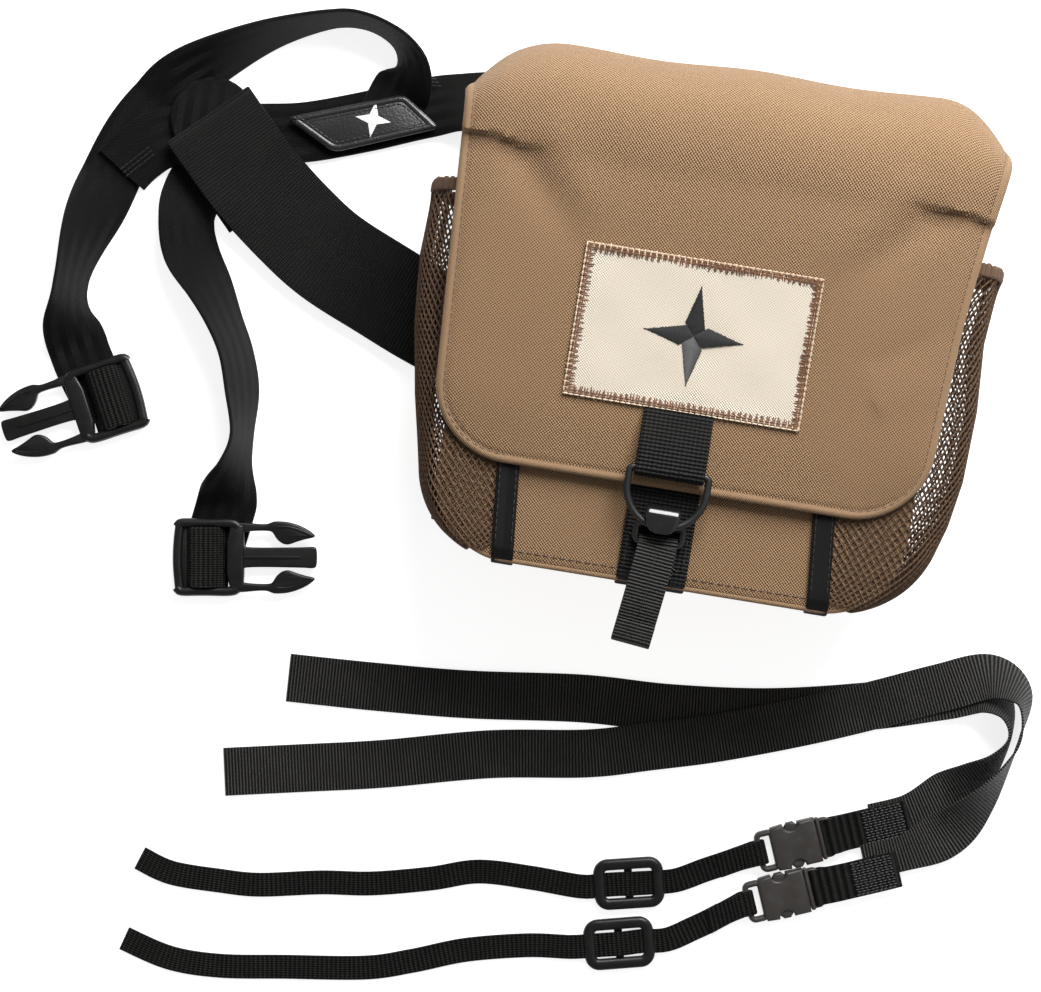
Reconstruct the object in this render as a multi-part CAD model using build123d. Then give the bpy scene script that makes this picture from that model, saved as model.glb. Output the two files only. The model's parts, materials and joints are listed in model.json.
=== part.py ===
from build123d import *
import math
import os

# Binocular harness pack, laid out on its back with its harness and its two tethers beside it.
# Millimetres. +Z is out of the pack's front, +Y is towards its top, +X is to its right.
# The origin is the middle of the back pad's resting face.

os.makedirs("parts", exist_ok=True)

# ---- driving dimensions: pack body ----
BODY_HALF_WIDTH = 90.0
BODY_BOTTOM = -98.0
BODY_TOP = 66.0
BODY_CORNER = 30.0
PAD_DEPTH = 9.0
FRONT_FACE = 86.0
FABRIC = 1.5
FOAM = 4.0
LINING = 0.8
BACK_WALL = 2.0
BACK_WALL_TOP = 100.0

# ---- flap ----
FLAP_THICKNESS = 3.0
FLAP_FACE = 92.0
FLAP_TOP = 100.0
FLAP_RADIUS = 40.0
FLAP_BOTTOM = -61.5
FLAP_HALF_WIDTH_TOP = 103.0
FLAP_HALF_WIDTH_LOW = 93.5
FLAP_CORNER = 28.0
FLAP_SEAM_GAP = 0.4
BEND_ANGLE = 45.0

# ---- sewn patch and closure ----
PATCH_WIDTH = 90.0
PATCH_HEIGHT = 58.0
PATCH_CENTRE = (-3.0, -3.0)
PATCH_BORDER = 4.0
CLOSURE_X = -3.7
CLOSURE_WEB_WIDTH = 26.5
WEB = 1.5
RING_BAR_Y = -55.0
RING_Z = 95.15
RING_WIRE = 1.35
RING_RADIUS = 15.15
RING_LEG = 6.2
RING_CORNER = 1.6
HOOK_BAR_Y = -82.25
HOOK_BAR_Z = 90.3
HOOK_BAR = 2.4
HOOK_FOLD = 1.85
PULL_TAB_WIDTH = 15.0
PULL_TAB_SLANT = -6.0

# ---- mesh pockets ----
POCKET_TOP = 38.0
POCKET_SKIN = 1.2
POCKET_GAP = 0.4
ELASTIC_HEIGHT = 4.0
BINDING_WIDTH = 8.5
BINDING_X = (-63.0, 58.6)

# ---- harness webbing ----
STRAP_WIDTH = 25.0
STRAP_THICKNESS = 1.6
WIDE_STRAP_WIDTH = 41.0
STRAP_STEPS = 4
RIBBON_STEPS = 7

# ---- 25 mm side-release buckles ----
BUCKLE_LENGTH = 59.0
BUCKLE_WIDTH = 32.0
BUCKLE_THICKNESS = 5.0
FRAME_LENGTH = 26.0
BUCKLE_BAR_AT = 13.25
BUCKLE_LIFT = 2.3
BUCKLE_A = (-220.5, -54.0, 207.0)
BUCKLE_B = (-196.0, -121.0, 9.0)
WEB_BEND = 18.8
WEB_BEND_GAP = 0.4
FEMALE_LENGTH = 33.0
FEMALE_THICKNESS = 7.6
FEMALE_Y = -76.0
FEMALE_PIVOT_X = 91.0
FEMALE_PIVOT_Z = 4.5

# ---- tethers ----
RIBBON_WIDTH = 20.0
RIBBON_THICKNESS = 1.0
NARROW_WIDTH = 10.0
NARROW_THICKNESS = 1.2
RIBBED_WIDTH = 15.0
SMALL_WIDTH = 18.6
SMALL_THICKNESS = 6.0
SMALL_FEMALE_LENGTH = 26.0
SMALL_LENGTH = 34.0
SMALL_HEADING = 22.5
SMALL_BAR = 1.2
SMALL_BAR_FOLD = 1.95
FOLD_REACH = 10.0
SMALL_ORIGINS = ((63.0, -203.5), (61.6, -225.0))
SLIDER_LENGTH = 30.0
SLIDER_WIDTH = 20.0


def save(node, shape):
    export_step(shape, "parts/%s.step" % node)


def block(x0, x1, y0, y1, z0, z1):
    return Pos((x0 + x1) / 2, (y0 + y1) / 2, (z0 + z1) / 2) * Box(x1 - x0, y1 - y0, z1 - z0)


def rounded_plate(x0, x1, y0, y1, z0, z1, radius):
    outline = Pos((x0 + x1) / 2, (y0 + y1) / 2, z0) * RectangleRounded(x1 - x0, y1 - y0, radius)
    return extrude(outline, amount=z1 - z0)


def side_profile(points, x0, x1):
    """A closed outline given as (y, z) points, extruded across X."""
    outline = make_face(Plane.YZ * Polyline(*points, close=True))
    return Pos(x0, 0, 0) * extrude(outline, amount=x1 - x0, dir=(1, 0, 0))


def cross_profile(points, y0, y1):
    """A closed outline given as (x, z) points, extruded across Y."""
    outline = make_face(Plane.XZ * Polyline(*points, close=True))
    return Pos(0, y0, 0) * extrude(outline, amount=y1 - y0, dir=(0, 1, 0))


def polyhedron(rings):
    """A closed solid through rings of the same number of points, with flat triangular faces."""
    count = len(rings[0])
    faces = []

    def triangle(a, b, c):
        faces.append(Face(Wire.make_polygon([a, b, c], close=True)))

    for first, second in zip(rings, rings[1:]):
        for i in range(count):
            j = (i + 1) % count
            triangle(first[i], first[j], second[j])
            triangle(first[i], second[j], second[i])
    for i in range(count // 2 - 1):
        near, far = i, count - 1 - i
        for ring, turn in ((rings[0], -1), (rings[-1], 1)):
            corners = [ring[near], ring[near + 1], ring[far - 1], ring[far]][::turn]
            triangle(corners[0], corners[1], corners[2])
            triangle(corners[0], corners[2], corners[3])
    solid = Solid(Shell(faces))
    return solid if solid.volume > 0 else Solid(Shell([-face for face in faces]))


def smooth_route(stations, steps):
    """Values between the stations. The path in plan is a smooth curve through each of them, and
    height, tilt and thickness stay between the values at the two neighbouring stations."""
    padded = [stations[0]] + list(stations) + [stations[-1]]
    route = []
    for before, start, end, after in zip(padded, padded[1:], padded[2:], padded[3:]):
        for step in range(steps):
            t = step / steps
            values = [0.5 * (2 * b + (c - a) * t + (2 * a - 5 * b + 4 * c - d) * t ** 2
                             + (3 * b - a - 3 * c + d) * t ** 3)
                      for a, b, c, d in zip(before, start, end, after)]
            held = [min(max(v, min(b, c)), max(b, c)) for v, b, c in zip(values, start, end)]
            route.append(tuple(values[:2] + held[2:]))
    return route + [stations[-1]]


def strap(stations, width, thickness, steps=STRAP_STEPS):
    """A length of webbing along (x, y, lowest z, tilt) stations; tilt lifts its left edge, in degrees.
    A fifth value is the thickness there, where the webbing is folded double."""
    rings = []
    stations = smooth_route(stations, steps)
    last = len(stations) - 1
    for i, station in enumerate(stations):
        x, y, low, tilt = station[:4]
        thick = station[4] if len(station) > 4 else thickness
        before = stations[max(i - 1, 0)]
        after = stations[min(i + 1, last)]
        along = Vector(after[0] - before[0], after[1] - before[1], 0).normalized()
        left = Vector(-along.Y, along.X, 0)
        lean = math.radians(tilt)
        across = left * math.cos(lean) + Vector(0, 0, math.sin(lean))
        normal = Vector(0, 0, math.cos(lean)) - left * math.sin(lean)
        rise = width / 2 * abs(math.sin(lean)) + thick / 2 * math.cos(lean)
        centre = Vector(x, y, low + rise)
        half = across * (width / 2)
        skin = normal * (thick / 2)
        below, above = centre - skin, centre + skin
        rings.append([below - half, below + half, above + half, above - half])
    return polyhedron(rings)


def body_outline(inset, top, z):
    """The pack's front outline moved in by inset, square at the top and round at the lower corners."""
    width = 2 * (BODY_HALF_WIDTH - inset)
    bottom = BODY_BOTTOM + inset
    outline = Pos(0, (top + bottom) / 2, z) * Rectangle(width, top - bottom)
    return fillet(outline.vertices().sort_by(Axis.Y)[:2], BODY_CORNER - inset)


def body_slab(inset, top, z0, z1):
    return extrude(body_outline(inset, top, z0), amount=z1 - z0)


def body_wall(outer, inner, z0, z1):
    """The walls of the two sides and the bottom, open at the pack's top."""
    core = body_slab(inner, BODY_TOP + 10, z0 - 1, z1 + 1)
    return body_slab(outer, BODY_TOP, z0, z1) - core


# ---- pack body ----
def make_back():
    pad = rounded_plate(-52, 52, -88, 78, 0, PAD_DEPTH, 14)
    foam = rounded_plate(-50.5, 50.5, -86.5, 76.5, 1.5, PAD_DEPTH - 1.5, 12.5)
    save("back_pad_cover", pad - foam)
    save("back_pad_foam", foam)
    save("back_wall", body_slab(0, BACK_WALL_TOP, PAD_DEPTH, PAD_DEPTH + BACK_WALL))


def make_body():
    back = PAD_DEPTH + BACK_WALL
    front = FRONT_FACE - FABRIC
    foam_in = FABRIC + FOAM
    save("gusset", body_wall(0, FABRIC, back, front))
    save("gusset_foam", body_wall(FABRIC, foam_in, back, front))
    save("back_foam", body_slab(foam_in, BODY_TOP, back, back + FOAM))
    save("front_foam", body_slab(foam_in, BODY_TOP, front - FOAM, front))
    tub = body_slab(foam_in, BODY_TOP, back + FOAM, front - FOAM)
    hollow = body_slab(foam_in + LINING, BODY_TOP + 10, back + FOAM + LINING, front - FOAM - LINING)
    save("lining", tub - hollow)
    save("front_panel", body_slab(0, BODY_TOP, front, FRONT_FACE))


def pocket_rings(side, rows, thickness, gap):
    """Sections of a side pocket's skin. Each row is (angle round the lower corner or None, y, bulge)."""
    rings = []
    strip = BINDING_X[1] if side > 0 else -BINDING_X[0]
    start = strip + BINDING_WIDTH / 2 + POCKET_GAP
    for angle, y, bulge in rows:
        turn = math.radians(angle)
        straight = BODY_HALF_WIDTH - BODY_CORNER
        edge_x = straight + BODY_CORNER * math.cos(turn)
        edge_y = y - BODY_CORNER * math.sin(turn)
        out = Vector(math.cos(turn), -math.sin(turn), 0)
        up = Vector(0, 0, 1)
        first = min(start, edge_x - 2)
        anchors = [
            (Vector(first, edge_y, FRONT_FACE), up, gap),
            (Vector(edge_x, edge_y, FRONT_FACE) + out * gap, up, gap),
            (Vector(edge_x, edge_y, 81), out, gap + 0.62 * bulge),
            (Vector(edge_x, edge_y, 70), out, gap + bulge),
            (Vector(edge_x, edge_y, 46), out, gap + bulge),
            (Vector(edge_x, edge_y, 22), out, gap + 0.62 * bulge),
            (Vector(edge_x, edge_y, 12.5), out, gap),
        ]
        inner = [base + normal * offset for base, normal, offset in anchors]
        outer = [base + normal * (offset + thickness) for base, normal, offset in anchors]
        loop = inner + outer[::-1]
        rings.append([Vector(side * p.X, p.Y, p.Z) for p in loop])
    return rings


def make_pockets():
    corner_y = BODY_BOTTOM + BODY_CORNER
    rows = [
        (0, POCKET_TOP, 19.0),
        (0, POCKET_TOP - 24, 20.0),
        (0, POCKET_TOP - 50, 18.0),
        (0, POCKET_TOP - 78, 13.5),
        (0, corner_y, 7.4),
        (12, corner_y, 6.2),
        (24, corner_y, 5.0),
        (36, corner_y, 3.8),
        (49, corner_y, 2.3),
        (62, corner_y, 0.4),
    ]
    elastic = [(0, POCKET_TOP + ELASTIC_HEIGHT, 17.5), (0, POCKET_TOP + 0.1, 19.0)]
    for name, side in (("left", -1), ("right", 1)):
        save("mesh_pocket_%s" % name, polyhedron(pocket_rings(side, rows, POCKET_SKIN, POCKET_GAP)))
        save("pocket_elastic_%s" % name, polyhedron(pocket_rings(side, elastic, 1.6, POCKET_GAP)))


def make_front_trim():
    half = BINDING_WIDTH / 2
    for name, x in zip(("left", "right"), BINDING_X):
        strip = block(x - half, x + half, BODY_BOTTOM + 0.5, POCKET_TOP + ELASTIC_HEIGHT,
                      FRONT_FACE, FRONT_FACE + 1.2)
        save("binding_%s" % name, strip)
    web = block(CLOSURE_X - CLOSURE_WEB_WIDTH / 2, CLOSURE_X + CLOSURE_WEB_WIDTH / 2,
                BODY_BOTTOM + 0.5, -48, FRONT_FACE, FRONT_FACE + WEB)
    save("body_webbing", web)
    tab = [(90.2, 18), (90.2, 20), (99, 26), (103, 36), (103, 46), (99, 56), (90.2, 62), (90.2, 64),
           (91.8, 64), (100, 57.5), (104.6, 47), (104.6, 35), (100, 24.5), (91.8, 18)]
    save("side_loop_right", cross_profile(tab, 46, 69))


# ---- flap ----
def bend_point(radius, angle):
    """A point (y, z) of the flap's top bend, angle measured from +Y."""
    centre_y = FLAP_TOP - FLAP_RADIUS
    centre_z = FLAP_FACE - FLAP_RADIUS
    return (centre_y + radius * math.cos(math.radians(angle)),
            centre_z + radius * math.sin(math.radians(angle)))


def flap_bend(start, end):
    """Outline points of the bend between two angles, outer side then inner side."""
    steps = 5
    angles = [start + (end - start) * i / steps for i in range(steps + 1)]
    outer = [bend_point(FLAP_RADIUS, angle) for angle in angles]
    inner = [bend_point(FLAP_RADIUS - FLAP_THICKNESS, angle) for angle in reversed(angles)]
    return outer, inner


def make_flap():
    seam = PAD_DEPTH + BACK_WALL + FLAP_SEAM_GAP
    outer, inner = flap_bend(0, BEND_ANGLE)
    top = [(FLAP_TOP, seam)] + outer + inner + [(FLAP_TOP - FLAP_THICKNESS, seam)]
    save("flap_top", side_profile(top, -FLAP_HALF_WIDTH_TOP, FLAP_HALF_WIDTH_TOP))
    outer, inner = flap_bend(BEND_ANGLE, 90)
    plate_y = FLAP_TOP - FLAP_RADIUS
    front = outer + [(FLAP_BOTTOM, FLAP_FACE), (FLAP_BOTTOM, FLAP_FACE - FLAP_THICKNESS)] + inner
    skirt = side_profile(front, -FLAP_HALF_WIDTH_TOP, FLAP_HALF_WIDTH_TOP)
    save("flap_front", skirt & flap_window(0, 0, FLAP_FACE + 5))
    lining = flap_window(2, FLAP_FACE - FLAP_THICKNESS - LINING, FLAP_FACE - FLAP_THICKNESS)
    save("flap_lining", lining - block(-120, 120, plate_y, 120, 0, 120))


def flap_window(inset, z0, z1):
    """The flap's tapered outline with round lower corners, as a block from z0 to z1."""
    top = FLAP_HALF_WIDTH_TOP - inset
    low = FLAP_HALF_WIDTH_LOW - inset
    bottom = FLAP_BOTTOM + inset
    shape = Polyline((-top, 110), (-low, bottom), (low, bottom), (top, 110), close=True)
    face = fillet(make_face(shape).vertices().sort_by(Axis.Y)[:2], FLAP_CORNER)
    return extrude(Pos(0, 0, z0) * face, amount=z1 - z0)


def make_patch():
    x, y = PATCH_CENTRE
    half_w = PATCH_WIDTH / 2
    half_h = PATCH_HEIGHT / 2
    inner_w = half_w - PATCH_BORDER
    inner_h = half_h - PATCH_BORDER
    canvas = block(x - inner_w, x + inner_w, y - inner_h, y + inner_h, FLAP_FACE, FLAP_FACE + 1)
    frame = block(x - half_w, x + half_w, y - half_h, y + half_h, FLAP_FACE, FLAP_FACE + 1.3)
    save("patch_canvas", canvas)
    save("patch_border", frame - block(x - inner_w, x + inner_w, y - inner_h, y + inner_h, 90, 95))
    save("patch_motif", compass_star(x, y, FLAP_FACE + 1, FLAP_FACE + 1.5, 18, 5.5))


def compass_star(x, y, z0, z1, long_radius, short_radius):
    """A plain four-pointed star."""
    points = []
    for i in range(8):
        radius = long_radius if i % 2 == 0 else short_radius
        turn = math.radians(45 * i + 90)
        points.append((x + radius * math.cos(turn), y + radius * math.sin(turn)))
    return extrude(Pos(0, 0, z0) * make_face(Polyline(*points, close=True)), amount=z1 - z0)


# ---- ring and hook closure ----
def arc_points(centre, radius, start, end, steps):
    return [(centre[0] + radius * math.cos(math.radians(start + (end - start) * i / steps)),
             centre[1] + radius * math.sin(math.radians(start + (end - start) * i / steps)))
            for i in range(steps + 1)]


def web_loop(bar, inner_radius, thickness, lower_end, upper_end, opens):
    """A (along, z) outline of webbing folded round a bar. opens is +1 where its tails run to +along.
    Each end is (along, z of the lower side of that layer)."""
    steps = 8
    bottom = 270 if opens > 0 else -90
    outer = arc_points(bar, inner_radius + thickness, bottom, 90, steps)
    inner = arc_points(bar, inner_radius, 90, bottom, steps)
    upper = [(upper_end[0], upper_end[1] + thickness), (upper_end[0], upper_end[1])]
    lower = [(lower_end[0], lower_end[1] + thickness), (lower_end[0], lower_end[1])]
    return outer + upper + inner + lower


def make_closure():
    half = CLOSURE_WEB_WIDTH / 2
    ring_loop = web_loop((RING_BAR_Y, RING_Z), RING_WIRE + 0.3, WEB, (-32.4, FLAP_FACE), (-38, 94.3), 1)
    save("flap_webbing", side_profile(ring_loop, CLOSURE_X - half, CLOSURE_X + half))
    leg_end = RING_BAR_Y - RING_LEG
    left = CLOSURE_X - RING_RADIUS
    right = CLOSURE_X + RING_RADIUS
    straight = Line((left, RING_BAR_Y), (right, RING_BAR_Y))
    legs = (Line((right, RING_BAR_Y), (right, leg_end)), Line((left, leg_end), (left, RING_BAR_Y)))
    bow = ThreePointArc((right, leg_end), (CLOSURE_X, leg_end - RING_RADIUS), (left, leg_end))
    route = Wire([straight, legs[0], bow, legs[1]])
    route = route.fillet_2d(RING_CORNER, route.vertices().sort_by(Axis.Y)[-2:])
    start = Plane(route @ 0, z_dir=route % 0)
    ring = sweep(start * Circle(RING_WIRE), path=route)
    save("d_ring", Pos(0, 0, RING_Z) * ring)


def make_hook():
    low = HOOK_BAR_Z - HOOK_BAR / 2
    high = HOOK_BAR_Z + HOOK_BAR / 2
    back = HOOK_BAR_Y - HOOK_BAR / 2
    frame = rounded_plate(CLOSURE_X - 10.2, CLOSURE_X + 10.2, back, back + 10, low, high, 2.4)
    slot = block(CLOSURE_X - 7.9, CLOSURE_X + 7.9, back + HOOK_BAR, back + 6.5, low - 1, high + 1)
    shank_y = -72.3
    bend_z = 94.2
    inner = 2.5
    outer = 4.3
    tip = -78.4
    outline = [(-76, bend_z - outer)] + arc_points((shank_y, bend_z), outer, -90, 90, 10)
    point = (tip, bend_z + (inner + outer) / 2)
    outline += [(tip + 0.4, bend_z + outer), point, (tip + 0.4, bend_z + inner)]
    outline += arc_points((shank_y, bend_z), inner, 90, -90, 10) + [(-76, bend_z - inner)]
    tongue = side_profile(outline, CLOSURE_X - 6, CLOSURE_X + 6)
    save("hook", frame - slot + tongue)
    half = PULL_TAB_WIDTH / 2
    bar = (HOOK_BAR_Y, HOOK_BAR_Z)
    upper = HOOK_BAR_Z + HOOK_FOLD
    anchor = web_loop(bar, HOOK_FOLD, 0.9, (-95.5, FRONT_FACE + WEB), (HOOK_BAR_Y - 6, upper), -1)
    save("hook_anchor", side_profile(anchor, CLOSURE_X - half, CLOSURE_X + half))
    make_pull_tab(half, upper + 1.3)


def make_pull_tab(half, low):
    """A flat tab of webbing on the hook's bar, hanging down over the pack's lower edge."""
    start = HOOK_BAR_Y - 1.5
    thick = 1.5
    line = [(start, low), (-98, low - 0.6), (-108, low - 2.4), (-121, low - 6.0)]
    outline = line + [(y, z + thick) for y, z in reversed(line)]
    tab = side_profile(outline, -half, half)
    slant = Pos(CLOSURE_X, HOOK_BAR_Y, 0) * Rot(0, 0, PULL_TAB_SLANT) * Pos(0, -HOOK_BAR_Y, 0)
    save("pull_tab", slant * tab)


# ---- harness ----
SHOULDER_A_ROUTE = [
    (-137, 74, 3.8, 0), (-134, 83, 3.8, 0), (-131.5, 90.5, 3.5, -30), (-132, 97.5, 1.4, -62),
    (-138.5, 105, 0.3, -80), (-151, 109.5, 0.3, -86), (-165, 108.5, 0.3, -86), (-187, 99.5, 0.3, -74),
    (-208, 86.5, 0.3, -54), (-223, 75, 0.3, -30), (-233, 63.5, 0.3, 0), (-241, 49.5, 0.3, 0),
    (-247, 32, 0.3, 0), (-250, 17, 0.3, -25), (-253, 0, 0.3, -54), (-254.5, -14, 0.3, -67),
    (-254, -25, 0.3, -60), (-252, -34, 0.3, -26), (-248.5, -43, 0.3, 0), (-241.5, -54, 0.3, 0),
    (-235.5, -61, 0.3, 0),
]
YOKE_ROUTE = [
    (-78, 86, 7.1, 0), (-94, 86, 6.6, 0), (-108, 84, 3.6, 12), (-122, 80, 1.8, 0), (-147, 70, 1.7, 0),
    (-170, 62, 1.7, 0), (-190, 58, 2.4, 0), (-203, 55, 3.4, 0), (-217, 53, 3.6, 0), (-229, 49, 3.4, 0),
    (-238, 41, 2.6, 0), (-243, 34, 2.4, 0),
]
SHOULDER_B_ROUTE = [
    (-213, 64, 7.7, 0, 3.6), (-199, 50, 7.7, 0, 3.6), (-187, 38, 7.5, 0, 1.9), (-168, 23, 5.2, 0, 1.8),
    (-151, 12, 3.8, 4, 1.8), (-128, 2, 3.2, 8, 1.8), (-108, -6, 4.2, 4, 1.8), (-92, -11, 6.6, 0, 1.8),
    (-62, -18, 7.1, 0, 1.8),
]
SIDE_STRAP_ROUTE = [
    (-204, 54, 0.3, 0), (-208, 42, 0.3, 0), (-212, 30, 0.3, -10), (-212.5, 18, 0.3, -32),
    (-208.5, 5, 0.3, -30), (-198.5, -8, 0.3, -46), (-190.5, -20, 0.3, -58), (-183, -33, 0.3, -62),
    (-178, -48, 0.3, -64), (-175, -66, 0.3, -76), (-175.5, -79, 0.3, -64), (-176.5, -88, 0.3, -34),
    (-178, -97, 0.3, -2), (-180, -112, 0.3, 0), (-182, -124, 0.3, 0),
]


def buckle_place(buckle):
    x, y, heading = buckle
    return Pos(x, y, BUCKLE_LIFT) * Rot(0, 0, heading)


def buckle_end(buckle, strap_side, gap):
    """The space of the webbing that lifts with a male buckle, past the line where the strap bends."""
    near = strap_side * (WEB_BEND + gap)
    far = -strap_side * 60
    return buckle_place(buckle) * block(-40, 80, min(near, far), max(near, far), -10, 40)


def make_harness():
    strap_a = strap(SHOULDER_A_ROUTE, STRAP_WIDTH, STRAP_THICKNESS)
    strap_b = strap(SIDE_STRAP_ROUTE, STRAP_WIDTH, STRAP_THICKNESS)
    save("yoke_strap", strap(YOKE_ROUTE, STRAP_WIDTH, STRAP_THICKNESS))
    save("shoulder_strap_b", strap(SHOULDER_B_ROUTE, WIDE_STRAP_WIDTH, STRAP_THICKNESS))
    ends = (("a", "shoulder_strap_a", strap_a, BUCKLE_A, -1), ("b", "side_strap_b", strap_b, BUCKLE_B, 1))
    for name, node, webbing, buckle, strap_side in ends:
        save(node, webbing - buckle_end(buckle, strap_side, WEB_BEND_GAP))
        loop = buckle_place(buckle) * buckle_arch() + (webbing & buckle_end(buckle, strap_side, 0))
        save("buckle_loop_%s" % name, loop)
        save("male_buckle_%s" % name, buckle_place(buckle) * male_buckle())
    keeper = Pos(-207, 59, 5.4) * Circle(18.5)
    save("strap_keeper", extrude(keeper, amount=STRAP_THICKNESS))
    corners = [(-179, 66), (-132, 83.5), (-115, 72), (-157, 55)]
    outline = make_face(Polyline(*corners, close=True))
    for name, low, high in (("lower", 0.3, 1.3), ("upper", 6.2, 7.2)):
        save("cross_patch_%s" % name, extrude(Pos(0, 0, low) * outline, amount=high - low))
    save("cross_patch_mark", compass_star(-143, 72, 7.2, 7.5, 8, 2.6))


def male_buckle():
    """The pronged half, lying along +X from the strap end at the origin, lower face at z = 0."""
    half = BUCKLE_WIDTH / 2
    top = BUCKLE_THICKNESS
    frame = rounded_plate(0, FRAME_LENGTH, -half, half, 0, top, 2.5)
    window = block(3, FRAME_LENGTH - 2.6, -13.2, 13.2, -1, top + 1)
    bar = Pos(BUCKLE_BAR_AT, 0, top / 2) * Rot(90, 0, 0) * Cylinder(1.9, BUCKLE_WIDTH - 2)
    tongue = rounded_plate(FRAME_LENGTH - 1, BUCKLE_LENGTH, -4, 4, 0.6, top - 0.6, 1.2)
    body = frame - window + bar + tongue
    for side in (-1, 1):
        arm = [(FRAME_LENGTH - 1, 9.2), (35, 9.6), (40, 9.2), (44, 6.8), (48, 5.6), (52, 8.4), (59, 10.2),
               (58, 12), (53, 14.6), (46, 15.4), (41, 13), (36, 12.2), (31, 13.4), (FRAME_LENGTH - 1, 13.2)]
        outline = Polyline(*[(x, side * y) for x, y in arm], close=True)
        body += extrude(Pos(0, 0, 0.4) * make_face(outline), amount=top - 0.8)
    return body


def buckle_arch():
    """Webbing humped over the bar of a male buckle, in the buckle's own place and direction."""
    low = -0.5
    middle = BUCKLE_BAR_AT
    right = [(middle + 7.6, low), (middle + 6.6, 3.2), (middle + 4.6, 6.4), (middle + 2.6, 6.9)]
    inner = [(middle + 2.2, 5.3), (middle + 3.6, 4.9), (middle + 5.1, 2.6), (middle + 6.0, low)]
    left = [(2 * middle - x, z) for x, z in reversed(right)]
    inner_left = [(2 * middle - x, z) for x, z in reversed(inner)]
    outline = right + left + inner_left + inner
    return cross_profile(outline, -STRAP_WIDTH / 2, STRAP_WIDTH / 2)


def make_female_buckles():
    """Socket halves folded under the pack beside the back pad, mouths towards the middle."""
    half = BUCKLE_WIDTH / 2
    bar_x = FEMALE_PIVOT_X - 6.5
    mouth_x = bar_x + 2 - FEMALE_LENGTH
    low = FEMALE_PIVOT_Z - FEMALE_THICKNESS / 2
    high = FEMALE_PIVOT_Z + FEMALE_THICKNESS / 2
    shell = rounded_plate(mouth_x, bar_x + 2, FEMALE_Y - half, FEMALE_Y + half, low, high, 3)
    socket = block(mouth_x - 1, mouth_x + 23, FEMALE_Y - 13.6, FEMALE_Y + 13.6,
                   FEMALE_PIVOT_Z - 2.7, FEMALE_PIVOT_Z + 2.7)
    slot = block(bar_x - 5.2, bar_x - 1.6, FEMALE_Y - 13, FEMALE_Y + 13, low - 1, high + 1)
    near, far = mouth_x + 9, mouth_x + 18
    window_points = [(near, half + 1), (near, 10.5), (far, 10.5), (far, half + 1)]
    shell = shell - socket - slot
    for side in (-1, 1):
        window = make_face(Polyline(*[(x, FEMALE_Y + side * y) for x, y in window_points], close=True))
        shell -= extrude(Pos(0, 0, low - 1) * window, amount=FEMALE_THICKNESS + 2)
    tab_low = FEMALE_PIVOT_Z - 0.8
    tab = block(bar_x + 2.3, FEMALE_PIVOT_X + 0.6, FEMALE_Y - 12.5, FEMALE_Y + 12.5, tab_low, tab_low + 1.6)
    for name, side in (("left", -1), ("right", 1)):
        save("female_buckle_%s" % name, shell if side > 0 else mirror(shell, about=Plane.YZ))
        save("female_tab_%s" % name, tab if side > 0 else mirror(tab, about=Plane.YZ))


# ---- tethers ----
RIBBON_1_ROUTE = [
    (-141, -163, 0.3, 0), (-105, -161, 0.3, 0), (-67, -158, 0.3, 0), (-19, -152, 0.3, 0),
    (18, -150, 0.3, 0), (59, -145, 0.3, 0), (99, -136, 0.3, 0), (128, -127, 0.3, -6),
    (143.5, -122, 0.3, -28), (154, -127, 0.3, -58), (157.5, -138, 0.3, -76), (153.5, -149, 0.3, -62),
    (146, -159, 0.3, -30), (136, -168, 0.3, 0), (122, -177, 0.3, 0), (108, -183, 0.3, 0),
]
RIBBON_2_ROUTE = [
    (-161, -206, 0.3, 0), (-128, -199, 0.3, 0), (-96, -192, 0.3, 0), (-53, -181, 0.5, 0),
    (-13, -174, 1.7, 0), (12, -167, 1.8, 0), (39, -159, 1.8, 0), (72, -147, 1.8, 0), (99, -136, 1.8, 0),
    (127, -123.5, 2.2, -6), (146.5, -115.2, 3.8, -28), (161, -121, 2.6, -58), (164, -137, 0.8, -76),
    (160.5, -151, 0.8, -66), (153.5, -167, 1.8, -38), (141.5, -183, 3.5, 0), (124, -193, 3.5, 0),
    (107, -200, 3.5, 0),
]
TAIL_1_ROUTE = [
    (42, -214.5, 0.8, 0), (32, -220, 1.8, 0), (-7, -229, 1.8, 0), (-28, -229, 0.4, 0), (-50, -230, 0.3, 0),
    (-69, -236, 0.3, 0), (-93, -242, 0.3, 0), (-114, -245, 0.3, 0), (-139, -250, 0.3, 0),
    (-155, -251, 0.3, 0), (-176, -251, 0.3, 0), (-190, -247, 0.3, 0),
]
TAIL_2_ROUTE = [
    (42, -238, 0.8, 0), (32, -245, 1.8, 0), (-7, -254.5, 1.8, 0), (-25, -257, 0.4, 0), (-50, -263, 0.3, 0),
    (-71, -271, 0.3, 0), (-90, -277, 0.3, 0), (-123, -282, 0.3, 0), (-150, -286, 0.3, 0),
    (-171, -286, 0.3, 0), (-191, -281, 0.3, 0),
]


def bar_relief(x0, x1, half_width):
    """Cutters that thin a small buckle's webbing bar from above and below."""
    middle = SMALL_THICKNESS / 2
    above = block(x0, x1, -half_width, half_width, middle + SMALL_BAR, SMALL_THICKNESS + 1)
    below = block(x0, x1, -half_width, half_width, -1, middle - SMALL_BAR)
    return above + below


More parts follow.
